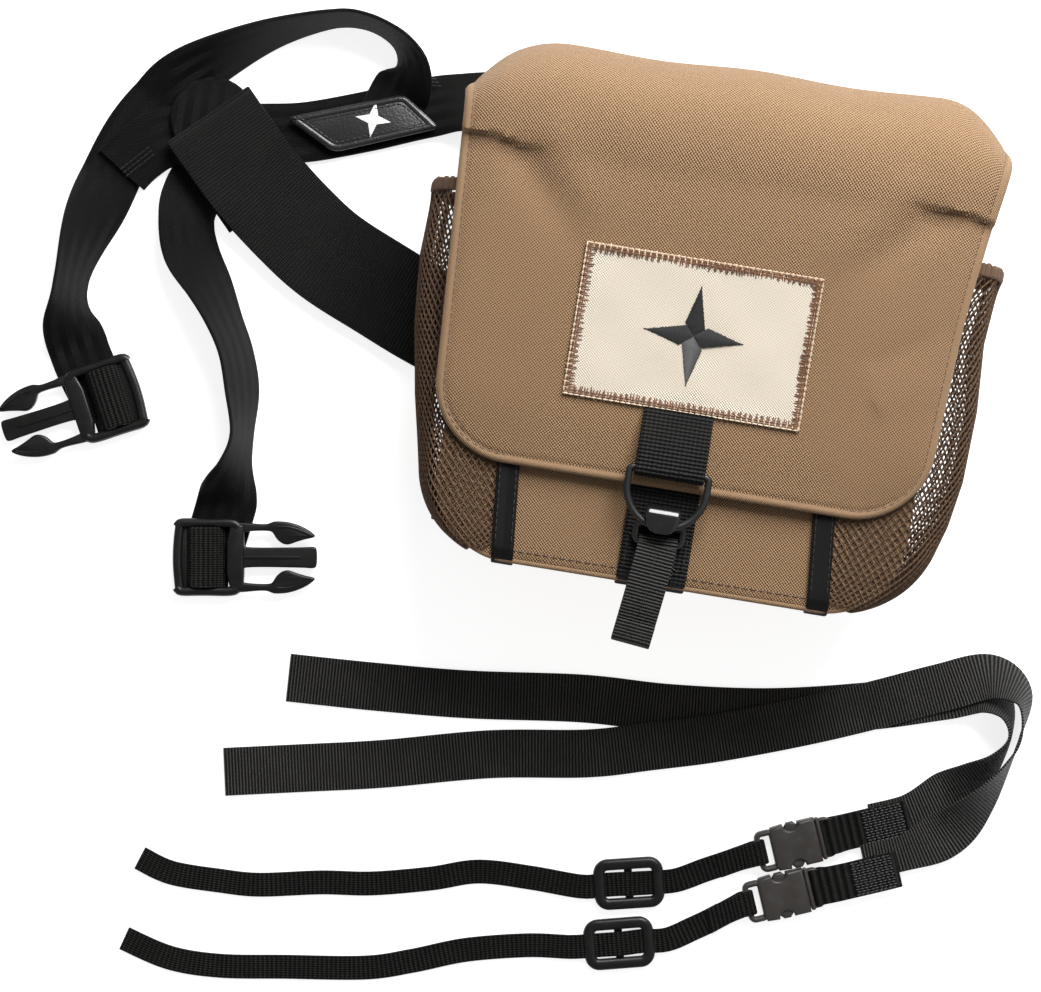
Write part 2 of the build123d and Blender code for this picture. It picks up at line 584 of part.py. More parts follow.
def small_female():
    """The socket half of a small buckle, along +X from its webbing bar, lower face at z = 0."""
    half = SMALL_WIDTH / 2
    shell = rounded_plate(0, SMALL_FEMALE_LENGTH, -half, half, 0, SMALL_THICKNESS, 2.2)
    slot = block(2.6, 6.2, -5.6, 5.6, -1, SMALL_THICKNESS + 1)
    middle = SMALL_THICKNESS / 2
    socket = block(8, SMALL_FEMALE_LENGTH + 1, -6.8, 6.8, middle - 1.9, middle + 1.9)
    shell = shell - slot - socket - bar_relief(-1, 2.6, 5.6)
    for side in (-1, 1):
        shell -= Pos(15.8, side * (half + 0.6), middle) * Cylinder(3.4, SMALL_THICKNESS + 2)
    return shell


def small_male():
    """The pronged half of a small buckle, in the same place as its socket half."""
    half = SMALL_WIDTH / 2
    middle = SMALL_THICKNESS / 2
    base_start = SMALL_FEMALE_LENGTH + 0.3
    base = rounded_plate(base_start, SMALL_LENGTH, -half, half, 0.6, SMALL_THICKNESS - 0.6, 2.0)
    base -= block(base_start + 2.6, SMALL_LENGTH - 2.8, -7.8, 7.8, -1, SMALL_THICKNESS + 1)
    base -= bar_relief(SMALL_LENGTH - 3, SMALL_LENGTH + 1, 7.8)
    prongs = block(9, base_start + 1, -6.3, 6.3, middle - 1.5, middle + 1.5)
    for side in (-1, 1):
        prongs -= block(8, base_start - 2.5, side * 3 - 0.7, side * 3 + 0.7, 0, SMALL_THICKNESS)
    return base + prongs


def slider():
    """A three-bar slide, centred on the origin, lower face at z = 0, webbing along X.
    Its middle bar is low and its end bars are high, so that straight webbing threads it."""
    half_l = SLIDER_LENGTH / 2
    half_w = SLIDER_WIDTH / 2
    rails = rounded_plate(-half_l, half_l, -half_w, half_w, 0, 5.4, 4)
    rails -= block(-half_l + 4, half_l - 4, -6, 6, -1, 7)
    rails -= block(-half_l - 1, half_l + 1, -5.6, 5.6, -1, 3.3)
    return rails + block(-1.8, 1.8, -6.5, 6.5, 0, 1.2)


def fold_webbing(width, bar_at, bar_z, tail_at, tail_z, thickness, opens):
    """Webbing folded round a bar and sewn to itself, drawn along X; opens gives its tails' direction."""
    bottom = 270 if opens > 0 else -90
    join = bar_at + opens * FOLD_REACH
    bar = (bar_at, bar_z)
    outline = arc_points(bar, SMALL_BAR_FOLD + thickness, bottom, 90, 8)
    tail_top = tail_z + 2 * thickness
    outline += [(join, tail_top), (tail_at, tail_top), (tail_at, tail_z), (join, tail_z)]
    eye = arc_points(bar, SMALL_BAR_FOLD, bottom, 90, 8) + [(join - opens, tail_z + thickness)]
    half = width / 2
    return cross_profile(outline, -half, half) - cross_profile(eye, -half - 1, half + 1)


def make_tether(number, ribbon_route, tail_route, origin, ribbon_top):
    place = Pos(origin[0], origin[1], 0.3) * Rot(0, 0, SMALL_HEADING)
    middle = SMALL_THICKNESS / 2
    ribbon = strap(ribbon_route, RIBBON_WIDTH, RIBBON_THICKNESS, RIBBON_STEPS)
    save("tether_ribbon_%d" % number, ribbon)
    save("small_female_%d" % number, place * small_female())
    save("small_male_%d" % number, place * small_male())
    bar_at = SMALL_LENGTH - 1.4
    ribbed = fold_webbing(RIBBED_WIDTH, bar_at, middle, SMALL_LENGTH + 31, ribbon_top, 0.9, 1)
    save("ribbed_loop_%d" % number, place * ribbed)
    narrow = fold_webbing(NARROW_WIDTH, 1.3, middle, -18, 0.5, NARROW_THICKNESS, -1)
    save("connector_loop_%d" % number, place * narrow)
    save("connector_web_%d" % number, strap(tail_route, NARROW_WIDTH, NARROW_THICKNESS))
    start = Vector(*tail_route[1][:2])
    end = Vector(*tail_route[2][:2])
    centre = (start + end) / 2
    heading = math.degrees(math.atan2(start.Y - end.Y, start.X - end.X))
    save("slider_%d" % number, Pos(centre.X, centre.Y, 0.3) * Rot(0, 0, heading) * slider())


make_back()
make_body()
make_pockets()
make_front_trim()
make_flap()
make_patch()
make_closure()
make_hook()
make_harness()
make_female_buckles()
make_tether(1, RIBBON_1_ROUTE, TAIL_1_ROUTE, SMALL_ORIGINS[0], 1.2)
make_tether(2, RIBBON_2_ROUTE, TAIL_2_ROUTE, SMALL_ORIGINS[1], 4.4)
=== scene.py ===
import json
import math
import random

import bmesh
import bpy
from mathutils import Matrix, Vector

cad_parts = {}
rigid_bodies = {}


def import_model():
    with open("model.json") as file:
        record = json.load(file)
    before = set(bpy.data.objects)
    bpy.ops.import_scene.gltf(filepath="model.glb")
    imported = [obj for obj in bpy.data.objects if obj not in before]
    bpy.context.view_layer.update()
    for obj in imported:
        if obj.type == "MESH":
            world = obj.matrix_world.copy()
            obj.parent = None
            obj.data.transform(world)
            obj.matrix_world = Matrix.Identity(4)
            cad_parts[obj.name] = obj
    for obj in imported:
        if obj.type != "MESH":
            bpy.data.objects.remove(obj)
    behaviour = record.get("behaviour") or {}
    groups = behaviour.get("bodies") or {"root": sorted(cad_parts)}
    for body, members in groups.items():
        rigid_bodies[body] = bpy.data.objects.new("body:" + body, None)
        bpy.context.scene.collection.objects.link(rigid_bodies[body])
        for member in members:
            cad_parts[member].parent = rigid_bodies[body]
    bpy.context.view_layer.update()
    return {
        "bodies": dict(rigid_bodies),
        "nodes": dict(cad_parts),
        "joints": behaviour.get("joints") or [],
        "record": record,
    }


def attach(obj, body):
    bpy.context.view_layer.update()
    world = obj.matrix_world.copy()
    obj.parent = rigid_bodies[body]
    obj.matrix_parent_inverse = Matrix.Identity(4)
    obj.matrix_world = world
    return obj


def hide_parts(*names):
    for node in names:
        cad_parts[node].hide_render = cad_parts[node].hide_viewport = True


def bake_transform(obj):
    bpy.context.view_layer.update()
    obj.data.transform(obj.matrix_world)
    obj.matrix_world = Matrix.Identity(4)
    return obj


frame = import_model()

# Binocular harness pack lying on its back. Lengths below are in millimetres and are scaled by MM
# when a mesh is made. +Z is out of the pack's front, +Y is towards its top, +X is to its right.
MM = 0.001
TAU = 2 * math.pi
X_AXIS = Vector((1, 0, 0))
Y_AXIS = Vector((0, 1, 0))
Z_AXIS = Vector((0, 0, 1))

# pack body
BODY_HALF = 90.0
BODY_BOTTOM = -98.0
BODY_MOUTH = 66.0
BODY_CORNER = 30.0
BACK_TOP = 100.0
BACK_LOW = 9.0
BACK_HIGH = 11.0
FRONT = 86.0
WALL = 6.3
# flap
FLAP_FACE = 92.0
FLAP_BOTTOM = -61.5
FLAP_TOP = 100.0
FLAP_RADIUS = 40.0
FLAP_SEAM = 11.4
FLAP_LOW_HALF = 93.5
FLAP_FLARE = 9.5
FLAP_CORNER = 28.0
FLAP_HALF_THICK = 1.4
HEM = 3.2
ROLL_FULLNESS = 6.0
# front trim
TAPE_LEAN = 0.09
# closure
CLOSURE_X = -3.7
CLOSURE_WIDTH = 26.5
RING_BAR = (-55.0, 95.15)
HOOK_BAR = (-82.25, 90.3)
# harness and tethers
STRAP = (25.0, 1.6)
RIBBON = (20.0, 1.0)
NARROW = (10.0, 1.2)
BUCKLE_LIFT = 2.3
BUCKLES = {"a": (-220.5, -54.0, 207.0, -1), "b": (-196.0, -121.0, 9.0, 1)}
SMALL_ORIGINS = ((63.0, -203.5), (61.6, -225.0))
SMALL_HEADING = 22.5
SMALL_LIFT = 0.3


# ---- camera, light and floor ----
WORLD_LIGHT = 0.3
KEY_POWER = 21.0
FILL_POWER = 1.5
FLOOR_GLOW = 0.8


def make_camera():
    data = bpy.data.cameras.new("camera")
    data.lens = 83.0
    camera = bpy.data.objects.new("camera", data)
    bpy.context.collection.objects.link(camera)
    up = Vector((-0.1607, 0.987, 0)).normalized()
    right = up.cross(Z_AXIS)
    turn = Matrix((right, up, Z_AXIS)).transposed().to_4x4()
    camera.matrix_world = Matrix.Translation((-0.0578, -0.0729, 1.0)) @ turn
    bpy.context.scene.camera = camera


def make_light(name, place, target, size, power):
    data = bpy.data.lights.new(name, "AREA")
    data.size = size
    data.energy = power
    light = bpy.data.objects.new(name, data)
    light.location = place
    aim = Vector(target) - Vector(place)
    light.rotation_euler = aim.to_track_quat("-Z", "Y").to_euler()
    bpy.context.collection.objects.link(light)


def make_stage():
    world = bpy.data.worlds.new("studio")
    world.use_nodes = True
    world.node_tree.nodes["Background"].inputs["Color"].default_value = (1, 1, 1, 1)
    world.node_tree.nodes["Background"].inputs["Strength"].default_value = WORLD_LIGHT
    bpy.context.scene.world = world
    bpy.context.scene.view_settings.view_transform = "Standard"
    make_light("key", (0.14, 0.66, 0.66), (-0.02, 0.02, 0.05), 0.6, KEY_POWER)
    make_light("fill", (0.9, -0.1, 1.1), (0.0, -0.05, 0.0), 1.2, FILL_POWER)
    size = 3.0
    corners = [(-size, -size, 0), (size, -size, 0), (size, size, 0), (-size, size, 0)]
    mesh = bpy.data.meshes.new("floor")
    mesh.from_pydata(corners, [], [(0, 1, 2, 3)])
    floor = bpy.data.objects.new("floor", mesh)
    bpy.context.collection.objects.link(floor)
    paint = bpy.data.materials.new("floor_white")
    paint.use_nodes = True
    shader = paint.node_tree.nodes["Principled BSDF"]
    shader.inputs["Base Color"].default_value = (0.6, 0.6, 0.6, 1)
    shader.inputs["Roughness"].default_value = 0.9
    shader.inputs["Specular IOR Level"].default_value = 0.1
    shader.inputs["Emission Color"].default_value = (1, 1, 1, 1)
    shader.inputs["Emission Strength"].default_value = FLOOR_GLOW
    mesh.materials.append(paint)


# ---- node materials ----
def shade(colour, factor):
    return tuple(c * factor for c in colour)


class Shader:
    """A principled material and short calls for the nodes that feed it."""

    def __init__(self, name, roughness, **sockets):
        self.material = bpy.data.materials.new(name)
        self.material.use_nodes = True
        self.tree = self.material.node_tree
        self.bsdf = self.tree.nodes["Principled BSDF"]
        self.bsdf.inputs["Roughness"].default_value = roughness
        for key, value in sockets.items():
            self.bsdf.inputs[key.replace("_", " ")].default_value = value

    def node(self, kind, **inputs):
        node = self.tree.nodes.new(kind)
        for key, value in inputs.items():
            self.feed(node.inputs[key.replace("_", " ")], value)
        return node

    def feed(self, socket, value):
        if isinstance(value, bpy.types.NodeSocket):
            self.tree.links.new(value, socket)
        else:
            socket.default_value = value

    def math(self, operation, a, b=0.0):
        node = self.tree.nodes.new("ShaderNodeMath")
        node.operation = operation
        self.feed(node.inputs[0], a)
        self.feed(node.inputs[1], b)
        return node.outputs[0]

    def uv(self):
        """Across and along the cloth, in millimetres."""
        source = self.node("ShaderNodeUVMap")
        source.uv_map = "UVMap"
        split = self.node("ShaderNodeSeparateXYZ", Vector=source.outputs["UV"])
        return source.outputs["UV"], split.outputs["X"], split.outputs["Y"]

    def wave(self, value, pitch, shift=0.0):
        turn = self.math("MULTIPLY_ADD", value, TAU / pitch)
        turn.node.inputs[2].default_value = shift
        return self.math("SINE", turn)

    def noise(self, vector, scale, detail=2.0):
        node = self.node("ShaderNodeTexNoise", Vector=vector, Scale=scale, Detail=detail)
        return node.outputs["Fac"]

    def mix(self, factor, first, second):
        node = self.tree.nodes.new("ShaderNodeMix")
        node.data_type = "RGBA"
        self.feed(node.inputs["Factor"], factor)
        for socket, value in ((node.inputs[6], first), (node.inputs[7], second)):
            self.feed(socket, (*value, 1.0) if isinstance(value, tuple) else value)
        return node.outputs[2]

    def ramp(self, value, low, high):
        """0 below low, 1 above high."""
        node = self.node("ShaderNodeMapRange", Value=value)
        node.interpolation_type = "SMOOTHSTEP"
        node.inputs["From Min"].default_value = low
        node.inputs["From Max"].default_value = high
        return node.outputs["Result"]

    def bump(self, height, distance, strength=1.0):
        node = self.node("ShaderNodeBump", Height=height, Distance=distance * MM, Strength=strength)
        self.tree.links.new(node.outputs["Normal"], self.bsdf.inputs["Normal"])

    def colour(self, value):
        self.feed(self.bsdf.inputs["Base Color"], value)

    def webbing(self, vector, height, light, dark, dust, paler, gap, depth):
        """Dark between the raised yarns, with paler dusty areas over them; the dark is partly the yarn's own
        colour and partly painted shade in the hollows.
        """
        dusty = self.ramp(self.noise(vector, dust, 4.0), 0.35, 0.8)
        tone = self.mix(dusty, light, shade(light, paler))
        # painted shade: low parts of the weave take the dark tone, standing in for shade between the raised
        # yarns
        self.colour(self.mix(self.ramp(height, *gap), dark, tone))
        self.bump(height, depth)
        return self.material


def woven(name, light, dark, pitch, depth=0.16, roughness=0.85, sheen=0.15, spread=0.3):
    """Plain-weave cloth: raised crossings between darker gaps, with uneven yarn and faded areas. The gaps'
    colour is partly the yarn's own and partly painted shade in the hollows.
    """
    shader = Shader(name, roughness, Sheen_Weight=sheen, Specular_IOR_Level=0.25)
    vector, across, along = shader.uv()
    checks = shader.math("MULTIPLY", shader.wave(across, pitch), shader.wave(along, pitch))
    yarn = shader.noise(vector, 1.3, 3.0)
    height = shader.math("ADD", checks, shader.math("MULTIPLY", yarn, 0.8))
    cloud = shader.noise(vector, 0.035, 3.0)
    # painted shade: where the weave is low the colour goes to the dark tone, standing in for shade in the
    # hollows between the yarns
    gap = shader.ramp(height, -0.45, 0.75)
    tone = shader.mix(shader.math("MULTIPLY", cloud, spread), light, shade(light, 0.8))
    shader.colour(shader.mix(gap, dark, tone))
    shader.bump(height, depth)
    return shader.material


def ribbed(name, light, dark, pitch, depth=0.22, roughness=0.6, sheen=0.01, fine=0.55):
    """Webbing with ribs across it, each one made of fine yarns side by side."""
    shader = Shader(name, roughness, Sheen_Weight=sheen, Specular_IOR_Level=0.12)
    vector, across, along = shader.uv()
    wobble = shader.math("MULTIPLY", shader.noise(vector, 0.5, 2.0), 0.25 * pitch)
    ribs = shader.wave(shader.math("ADD", along, wobble), pitch)
    yarns = shader.wave(across, fine)
    height = shader.math("ADD", ribs, shader.math("MULTIPLY", yarns, 0.3))
    return shader.webbing(vector, height, light, dark, 0.06, 1.35, (-0.9, 1.0), depth)


def basket(name, light, dark, pitches, depth=0.3, roughness=0.6):
    """Heavy webbing: rows of raised loops side by side, (across, along) pitches apart."""
    shader = Shader(name, roughness, Sheen_Weight=0.01, Specular_IOR_Level=0.15)
    vector, across, along = shader.uv()
    wobble = shader.math("MULTIPLY", shader.noise(vector, 0.6, 2.0), 0.3 * pitches[1])
    rows = shader.wave(shader.math("ADD", along, wobble), pitches[1])
    loops = shader.wave(across, pitches[0])
    height = shader.math("ADD", rows, shader.math("MULTIPLY", loops, 0.55))
    return shader.webbing(vector, height, light, dark, 0.08, 1.5, (-1.0, 1.3), depth)


def herringbone(name, light, dark, pitch, depth=0.12, roughness=0.55):
    """Smooth strap webbing: a fine twill that changes direction in strips along the strap."""
    shader = Shader(name, roughness, Sheen_Weight=0.01, Specular_IOR_Level=0.1)
    vector, across, along = shader.uv()
    zigzag = shader.math("PINGPONG", across, 3.1)
    twill = shader.wave(shader.math("ADD", along, zigzag), pitch)
    yarns = shader.wave(across, 0.7)
    height = shader.math("ADD", twill, shader.math("MULTIPLY", yarns, 0.4))
    return shader.webbing(vector, height, light, dark, 0.05, 1.4, (-1.1, 1.1), depth)


def moulded(name, tone, worn, roughness=0.38, coat=0.0, grain=900.0):
    """Moulded plastic: a fine texture, slightly uneven gloss and paler rubbed patches."""
    shader = Shader(name, roughness, Coat_Weight=coat, Coat_Roughness=0.12, Specular_IOR_Level=0.35)
    place = shader.node("ShaderNodeTexCoord").outputs["Object"]
    fine = shader.noise(place, grain * 3, 3.0)
    rubbed = shader.noise(place, 160.0, 4.0)
    shader.colour(shader.mix(shader.ramp(rubbed, 0.5, 0.75), tone, worn))
    uneven = shader.math("MULTIPLY_ADD", rubbed, 0.25)
    uneven.node.inputs[2].default_value = roughness - 0.12
    shader.feed(shader.bsdf.inputs["Roughness"], uneven)
    shader.bump(fine, 0.04, 0.6)
    return shader.material


def thread(name, tone, pale, sheen=0.1):
    """Twisted polyester thread."""
    shader = Shader(name, 0.5, Sheen_Weight=sheen, Specular_IOR_Level=0.4)
    place = shader.node("ShaderNodeTexCoord").outputs["Object"]
    twist = shader.noise(place, 2600.0, 2.0)
    shader.colour(shader.mix(shader.ramp(twist, 0.35, 0.7), tone, pale))
    shader.bump(twist, 0.05)
    return shader.material


def grained(name, tone, roughness, depth, scale, coat=0.0):
    """Vinyl, foam or rubber: an irregular grain."""
    shader = Shader(name, roughness, Coat_Weight=coat, Coat_Roughness=0.2)
    vector = shader.node("ShaderNodeTexCoord").outputs["Object"]
    cells = shader.node("ShaderNodeTexVoronoi", Vector=vector, Scale=scale).outputs["Distance"]
    crease = shader.noise(vector, scale * 0.12, 4.0)
    height = shader.math("ADD", cells, crease)
    shader.colour(shader.mix(shader.ramp(crease, 0.3, 0.8), tone, shade(tone, 1.5)))
    shader.bump(height, depth)
    return shader.material


# The second colour of each cloth and webbing is the tone between its yarns: partly their own darker colour,
# partly painted shade in the weave's hollows.
TAN = woven("tan_canvas", (0.33, 0.202, 0.107), (0.055, 0.03, 0.014), 1.25, depth=0.26, sheen=0.05)
TAN_HEM = woven("tan_hem", (0.3, 0.19, 0.106), (0.105, 0.06, 0.03), 0.9, depth=0.12, sheen=0.05)
MESH_KNIT = woven("brown_mesh", (0.15, 0.086, 0.048), (0.035, 0.018, 0.01), 0.7, depth=0.1, sheen=0.05)
CANVAS = woven("cream_canvas", (0.66, 0.59, 0.49), (0.42, 0.36, 0.28), 1.15, 0.2, sheen=0.0, spread=0.12)
LINING = woven("black_lining", (0.012, 0.0115, 0.011), (0.004, 0.004, 0.004), 0.7, depth=0.08, sheen=0.02)
SPACER = woven("back_mesh", (0.016, 0.015, 0.014), (0.003, 0.003, 0.003), 2.4, depth=0.5, sheen=0.02)
SMOOTH_WEB = herringbone("strap_webbing", (0.0058, 0.0055, 0.0052), (0.002, 0.002, 0.002), 0.8)
WIDE_WEB = basket("wide_webbing", (0.0068, 0.0064, 0.0059), (0.002, 0.002, 0.002), (0.8, 1.35), 0.16)
GROSGRAIN = ribbed("grosgrain", (0.06, 0.058, 0.055), (0.003, 0.003, 0.003), 1.3, 0.3, roughness=0.5)
TAPE_RIBS = ribbed("tape_ribs", (0.018, 0.0165, 0.015), (0.0015, 0.0015, 0.0015), 3.3, 0.7)
COARSE_WEB = basket("coarse_webbing", (0.014, 0.0128, 0.0115), (0.0015, 0.0015, 0.0015), (0.95, 1.9), 0.4)
BODY_WEB = basket("closure_webbing", (0.0135, 0.0125, 0.012), (0.0012, 0.0012, 0.0012), (1.75, 1.45), 0.22)
TAPE = herringbone("binding_tape", (0.007, 0.0068, 0.0065), (0.003, 0.003, 0.003), 0.9, 0.05)
BUCKLE_PLASTIC = moulded("buckle_plastic", (0.0036, 0.0033, 0.003), (0.006, 0.0055, 0.005))
SMALL_PLASTIC = moulded("small_plastic", (0.034, 0.03, 0.0275), (0.046, 0.042, 0.039), roughness=0.42)
HOOK_PLASTIC = moulded("hook_plastic", (0.006, 0.006, 0.0065), (0.009, 0.009, 0.0095), 0.18, 0.5)
RING_PLASTIC = moulded("ring_plastic", (0.009, 0.0095, 0.0095), (0.014, 0.014, 0.014), 0.4)
VINYL = grained("black_vinyl", (0.006, 0.0057, 0.0057), 0.34, 0.06, 900.0, coat=0.2)
MARK = grained("white_mark", (0.58, 0.58, 0.57), 0.6, 0.05, 1500.0)
BROWN_THREAD = thread("brown_thread", (0.085, 0.036, 0.015), (0.2, 0.09, 0.04))
PALE_THREAD = thread("pale_thread", (0.45, 0.32, 0.2), (0.62, 0.52, 0.4))
TAN_THREAD = thread("tan_thread", (0.06, 0.028, 0.013), (0.12, 0.062, 0.032))
BLACK_THREAD = thread("black_thread", (0.008, 0.008, 0.008), (0.02, 0.02, 0.02))


# ---- mesh helpers ----
def clamp(value, low=0.0, high=1.0):
    return max(low, min(high, value))


def ease(value):
    value = clamp(value)
    return value * value * (3 - 2 * value)


def place_at(x, y, z, heading):
    return Matrix.Translation((x, y, z)) @ Matrix.Rotation(math.radians(heading), 4, "Z")


class Build:
    """Gathers closed shells in millimetres, moved by place, then makes one object of them."""

    def __init__(self, place=None):
        self.place = place
        self.points = []
        self.faces = []
        self.uvs = []
        self.slots = []

    def shell(self, points, faces, uvs=None, slot=0):
        start = len(self.points)
        self.points += [self.place @ Vector(p) if self.place else Vector(p) for p in points]
        flat = [(p[0], p[1]) for p in points] if uvs is None else uvs
        for face in faces:
            self.faces.append([start + i for i in face])
            self.uvs.append([flat[i] for i in face])
            self.slots.append(slot)

    def make(self, name, body, materials, nodes=(), sharp=40.0):
        mesh = bpy.data.meshes.new(name)
        mesh.from_pydata([p * MM for p in self.points], [], self.faces)
        layer = mesh.uv_layers.new(name="UVMap")
        flat = [uv for face in self.uvs for uv in face]
        layer.data.foreach_set("uv", [c for uv in flat for c in uv])
        for material in materials:
            mesh.materials.append(material)
        mesh.polygons.foreach_set("material_index", self.slots)
        mesh.validate()
        mesh.shade_smooth()
        mesh.set_sharp_from_angle(angle=math.radians(sharp))
        piece = bpy.data.objects.new(name, mesh)
        bpy.context.collection.objects.link(piece)
        if nodes:
            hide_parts(*nodes)
        if body:
            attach(piece, body)
        return piece


def grid_faces(rows, columns, closed=False):
    faces = []
    for i in range(rows - 1):
        for j in range(columns if closed else columns - 1):
            k = (j + 1) % columns
            faces.append((i * columns + j, i * columns + k, (i + 1) * columns + k, (i + 1) * columns + j))
    return faces


def flipped(faces):
    return [tuple(reversed(face)) for face in faces]


def grid_border(rows, columns):
    """The points round the edge of a grid, in order."""
    border = list(range(columns)) + [i * columns + columns - 1 for i in range(1, rows)]
    border += [(rows - 1) * columns + j for j in reversed(range(columns - 1))]
    return border + [i * columns for i in reversed(range(1, rows - 1))]


def plate_faces(rows, columns):
    """Faces of a closed plate: a lower grid of points, an upper one and the wall between them."""
    flat = grid_faces(rows, columns)
    base = rows * columns
    border = grid_border(rows, columns)
    faces = flipped(flat) + [tuple(i + base for i in face) for face in flat]
    return faces + [(a, b, b + base, a + base) for a, b in zip(border, border[1:] + border[:1])]


def curve_through(stations, step, keep=3):
    """Rows of values along a smooth curve through the stations, about step apart. The first keep
    values of a row are free; the others stay between those of the two stations beside them."""
    padded = [stations[0]] + list(stations) + [stations[-1]]
    rows = []
    for a, b, c, d in zip(padded, padded[1:], padded[2:], padded[3:]):
        span = math.dist(b[:3], c[:3])
        count = max(1, round(span / step))
        for i in range(count):
            t = i / count
            row = []
            for k, (p, q, r, s) in enumerate(zip(a, b, c, d)):
                value = 0.5 * (2 * q + (r - p) * t + (2 * p - 5 * q + 4 * r - s) * t ** 2
                               + (3 * q - p - 3 * r + s) * t ** 3)
                row.append(value if k < keep else clamp(value, min(q, r), max(q, r)))
            rows.append(row)
    return rows + [list(stations[-1])]


def smooth(points, step):
    """A smooth flat curve through (a, b) points."""
    return [tuple(p[:2]) for p in curve_through([(a, b, 0) for a, b in points], step)]


def travel_at(path, i):
    """The direction in which a path runs at its point i."""
    before = Vector(path[max(i - 1, 0)])
    after = Vector(path[min(i + 1, len(path) - 1)])
    return (after - before).normalized()


def left_of(path, i, closed=False):
    """The level direction to the left of a path at its point i."""
    ax, ay = path[i - 1][:2] if closed or i else path[0][:2]
    bx, by = path[(i + 1) % len(path)][:2] if closed or i < len(path) - 1 else path[-1][:2]
    travel = Vector((bx - ax, by - ay, 0)).normalized()
    return Vector((-travel.y, travel.x, 0))


def band_ring(centre, across, normal, width, thickness, columns):
    """One cross-section of flat webbing with rounded edges, counter-clockwise."""
    half = width / 2
    rim = min(thickness * 0.55, half * 0.3)
    offsets = [half, half - rim * 0.3, half - rim]
    inner = columns - 6
    offsets += [(half - rim) * (1 - 2 * (i + 1) / (inner + 1)) for i in range(inner)]
    offsets += [-(half - rim), -(half - rim * 0.3), -half]
    swell = [0.3, 0.8, 1.0] + [1.0] * inner + [1.0, 0.8, 0.3]
    top = [(a, thickness / 2 * s) for a, s in zip(offsets, swell)]
    bottom = [(a, -h) for a, h in reversed(top)]
    ring = [centre + across * a + normal * h for a, h in top + bottom]
    return ring, [a for a, h in top + bottom]


def band_shell(build, rows, thickness, columns=12):
    """Adds webbing through rows of (centre, across, width). Across points left of the way along."""
    rings = []
    uvs = []
    along = 0.0
    path = [row[0] for row in rows]
    for i, (centre, across, width) in enumerate(rows):
        normal = travel_at(path, i).cross(across).normalized()
        if i:
            along += (centre - path[i - 1]).length
        ring, offsets = band_ring(centre, across, normal, width, thickness, columns)
        rings += ring
        uvs += [(a, along) for a in offsets]
    count = 2 * columns
    faces = grid_faces(len(rows), count, True)
    end = (len(rows) - 1) * count
    for j in range(columns - 1):
        k = count - 1 - j
        faces.append((k, k - 1, j + 1, j))
        faces.append((end + j, end + j + 1, end + k - 1, end + k))
    build.shell(rings, faces, uvs)


def laid_rows(stations, width, thickness, wave=(0.0, 60.0, 0.0), step=2.0):
    """Rows of a strap lying on the table, from (x, y, lowest z, tilt) stations. A tilt lifts the
    left edge, in degrees; wave is the height, length and phase of its slight buckling."""
    rows = []
    path = curve_through(stations, step, keep=2)
    travelled = 0.0
    height, length, phase = wave
    for i, (x, y, low, tilt) in enumerate(path):
        if i:
            travelled += math.dist(path[i - 1][:2], (x, y))
        ripple = math.sin(TAU * travelled / length + phase)
        lean = math.radians(tilt + 3.0 * height * math.cos(TAU * travelled / length * 0.7 + phase))
        across = left_of(path, i) * math.cos(lean) + Z_AXIS * math.sin(lean)
        rise = width / 2 * abs(math.sin(lean)) + thickness / 2 * math.cos(lean)
        rows.append((Vector((x, y, low + rise + height * (1 + ripple) / 2)), across, width))
    return rows


def profile_rows(points, x, width, step=1.2):
    """Rows of webbing that lies along Y, from (y, z) points of its middle line."""
    return [(Vector((x, y, z)), X_AXIS, width) for y, z in smooth(points, step)]


def capsule(build, start, end, radius, bow=Vector((0, 0, 0)), slot=0, sides=6, steps=4):
    """A short thread with round ends, bowed in the middle."""
    axis = (end - start).normalized()
    side = axis.cross(Z_AXIS if abs(axis.z) < 0.9 else X_AXIS).normalized()
    up = side.cross(axis)
    points = []
    for i in range(steps + 1):
        t = i / steps
        swell = radius * (0.35 + 0.65 * math.sin(math.pi * clamp(0.12 + 0.76 * t)) ** 0.5)
        centre = start.lerp(end, t) + bow * math.sin(math.pi * t)
        for j in range(sides):
            turn = TAU * j / sides
            points.append(centre + (side * math.cos(turn) + up * math.sin(turn)) * swell)
    faces = flipped(grid_faces(steps + 1, sides, True))
    faces.append(tuple(range(sides)))
    faces.append(tuple(reversed(range(steps * sides, (steps + 1) * sides))))
    build.shell(points, faces, None, slot)


def stitch_row(build, line, pitch=3.0, length=2.3, radius=0.28, slot=0):
    """Stitches along a line of points."""
    travelled = [0.0]
    for a, b in zip(line, line[1:]):
        travelled.append(travelled[-1] + (b - a).length)

    def at(distance):
        for i in range(len(line) - 1):
            if travelled[i + 1] >= distance:
                span = max(travelled[i + 1] - travelled[i], 1e-6)
                return line[i].lerp(line[i + 1], (distance - travelled[i]) / span)
        return line[-1]

    for i in range(int(travelled[-1] / pitch)):
        capsule(build, at(i * pitch), at(i * pitch + length), radius, Z_AXIS * 0.12, slot, 5, 3)


def sew(name, body, thread_material, lines, pitch, length, radius):
    """One piece made of rows of stitches."""
    build = Build()
    for line in lines:
        stitch_row(build, line, pitch, length, radius)
    return build.make(name, body, [thread_material])


def inset_outline(outline, amount):
    """The outline moved inwards; it runs counter-clockwise."""
    count = len(outline)
    moved = []
    for i, (x, y) in enumerate(outline):
        ax, ay = outline[i - 1]
        bx, by = outline[(i + 1) % count]
        one = Vector((x - ax, y - ay)).normalized()
        two = Vector((bx - x, by - y)).normalized()
        inward = (Vector((-one.y, one.x)) + Vector((-two.y, two.x))).normalized()
        stretch = max(0.5, inward.dot(Vector((-one.y, one.x))))
        moved.append((x + inward.x * amount / stretch, y + inward.y * amount / stretch))
    return moved


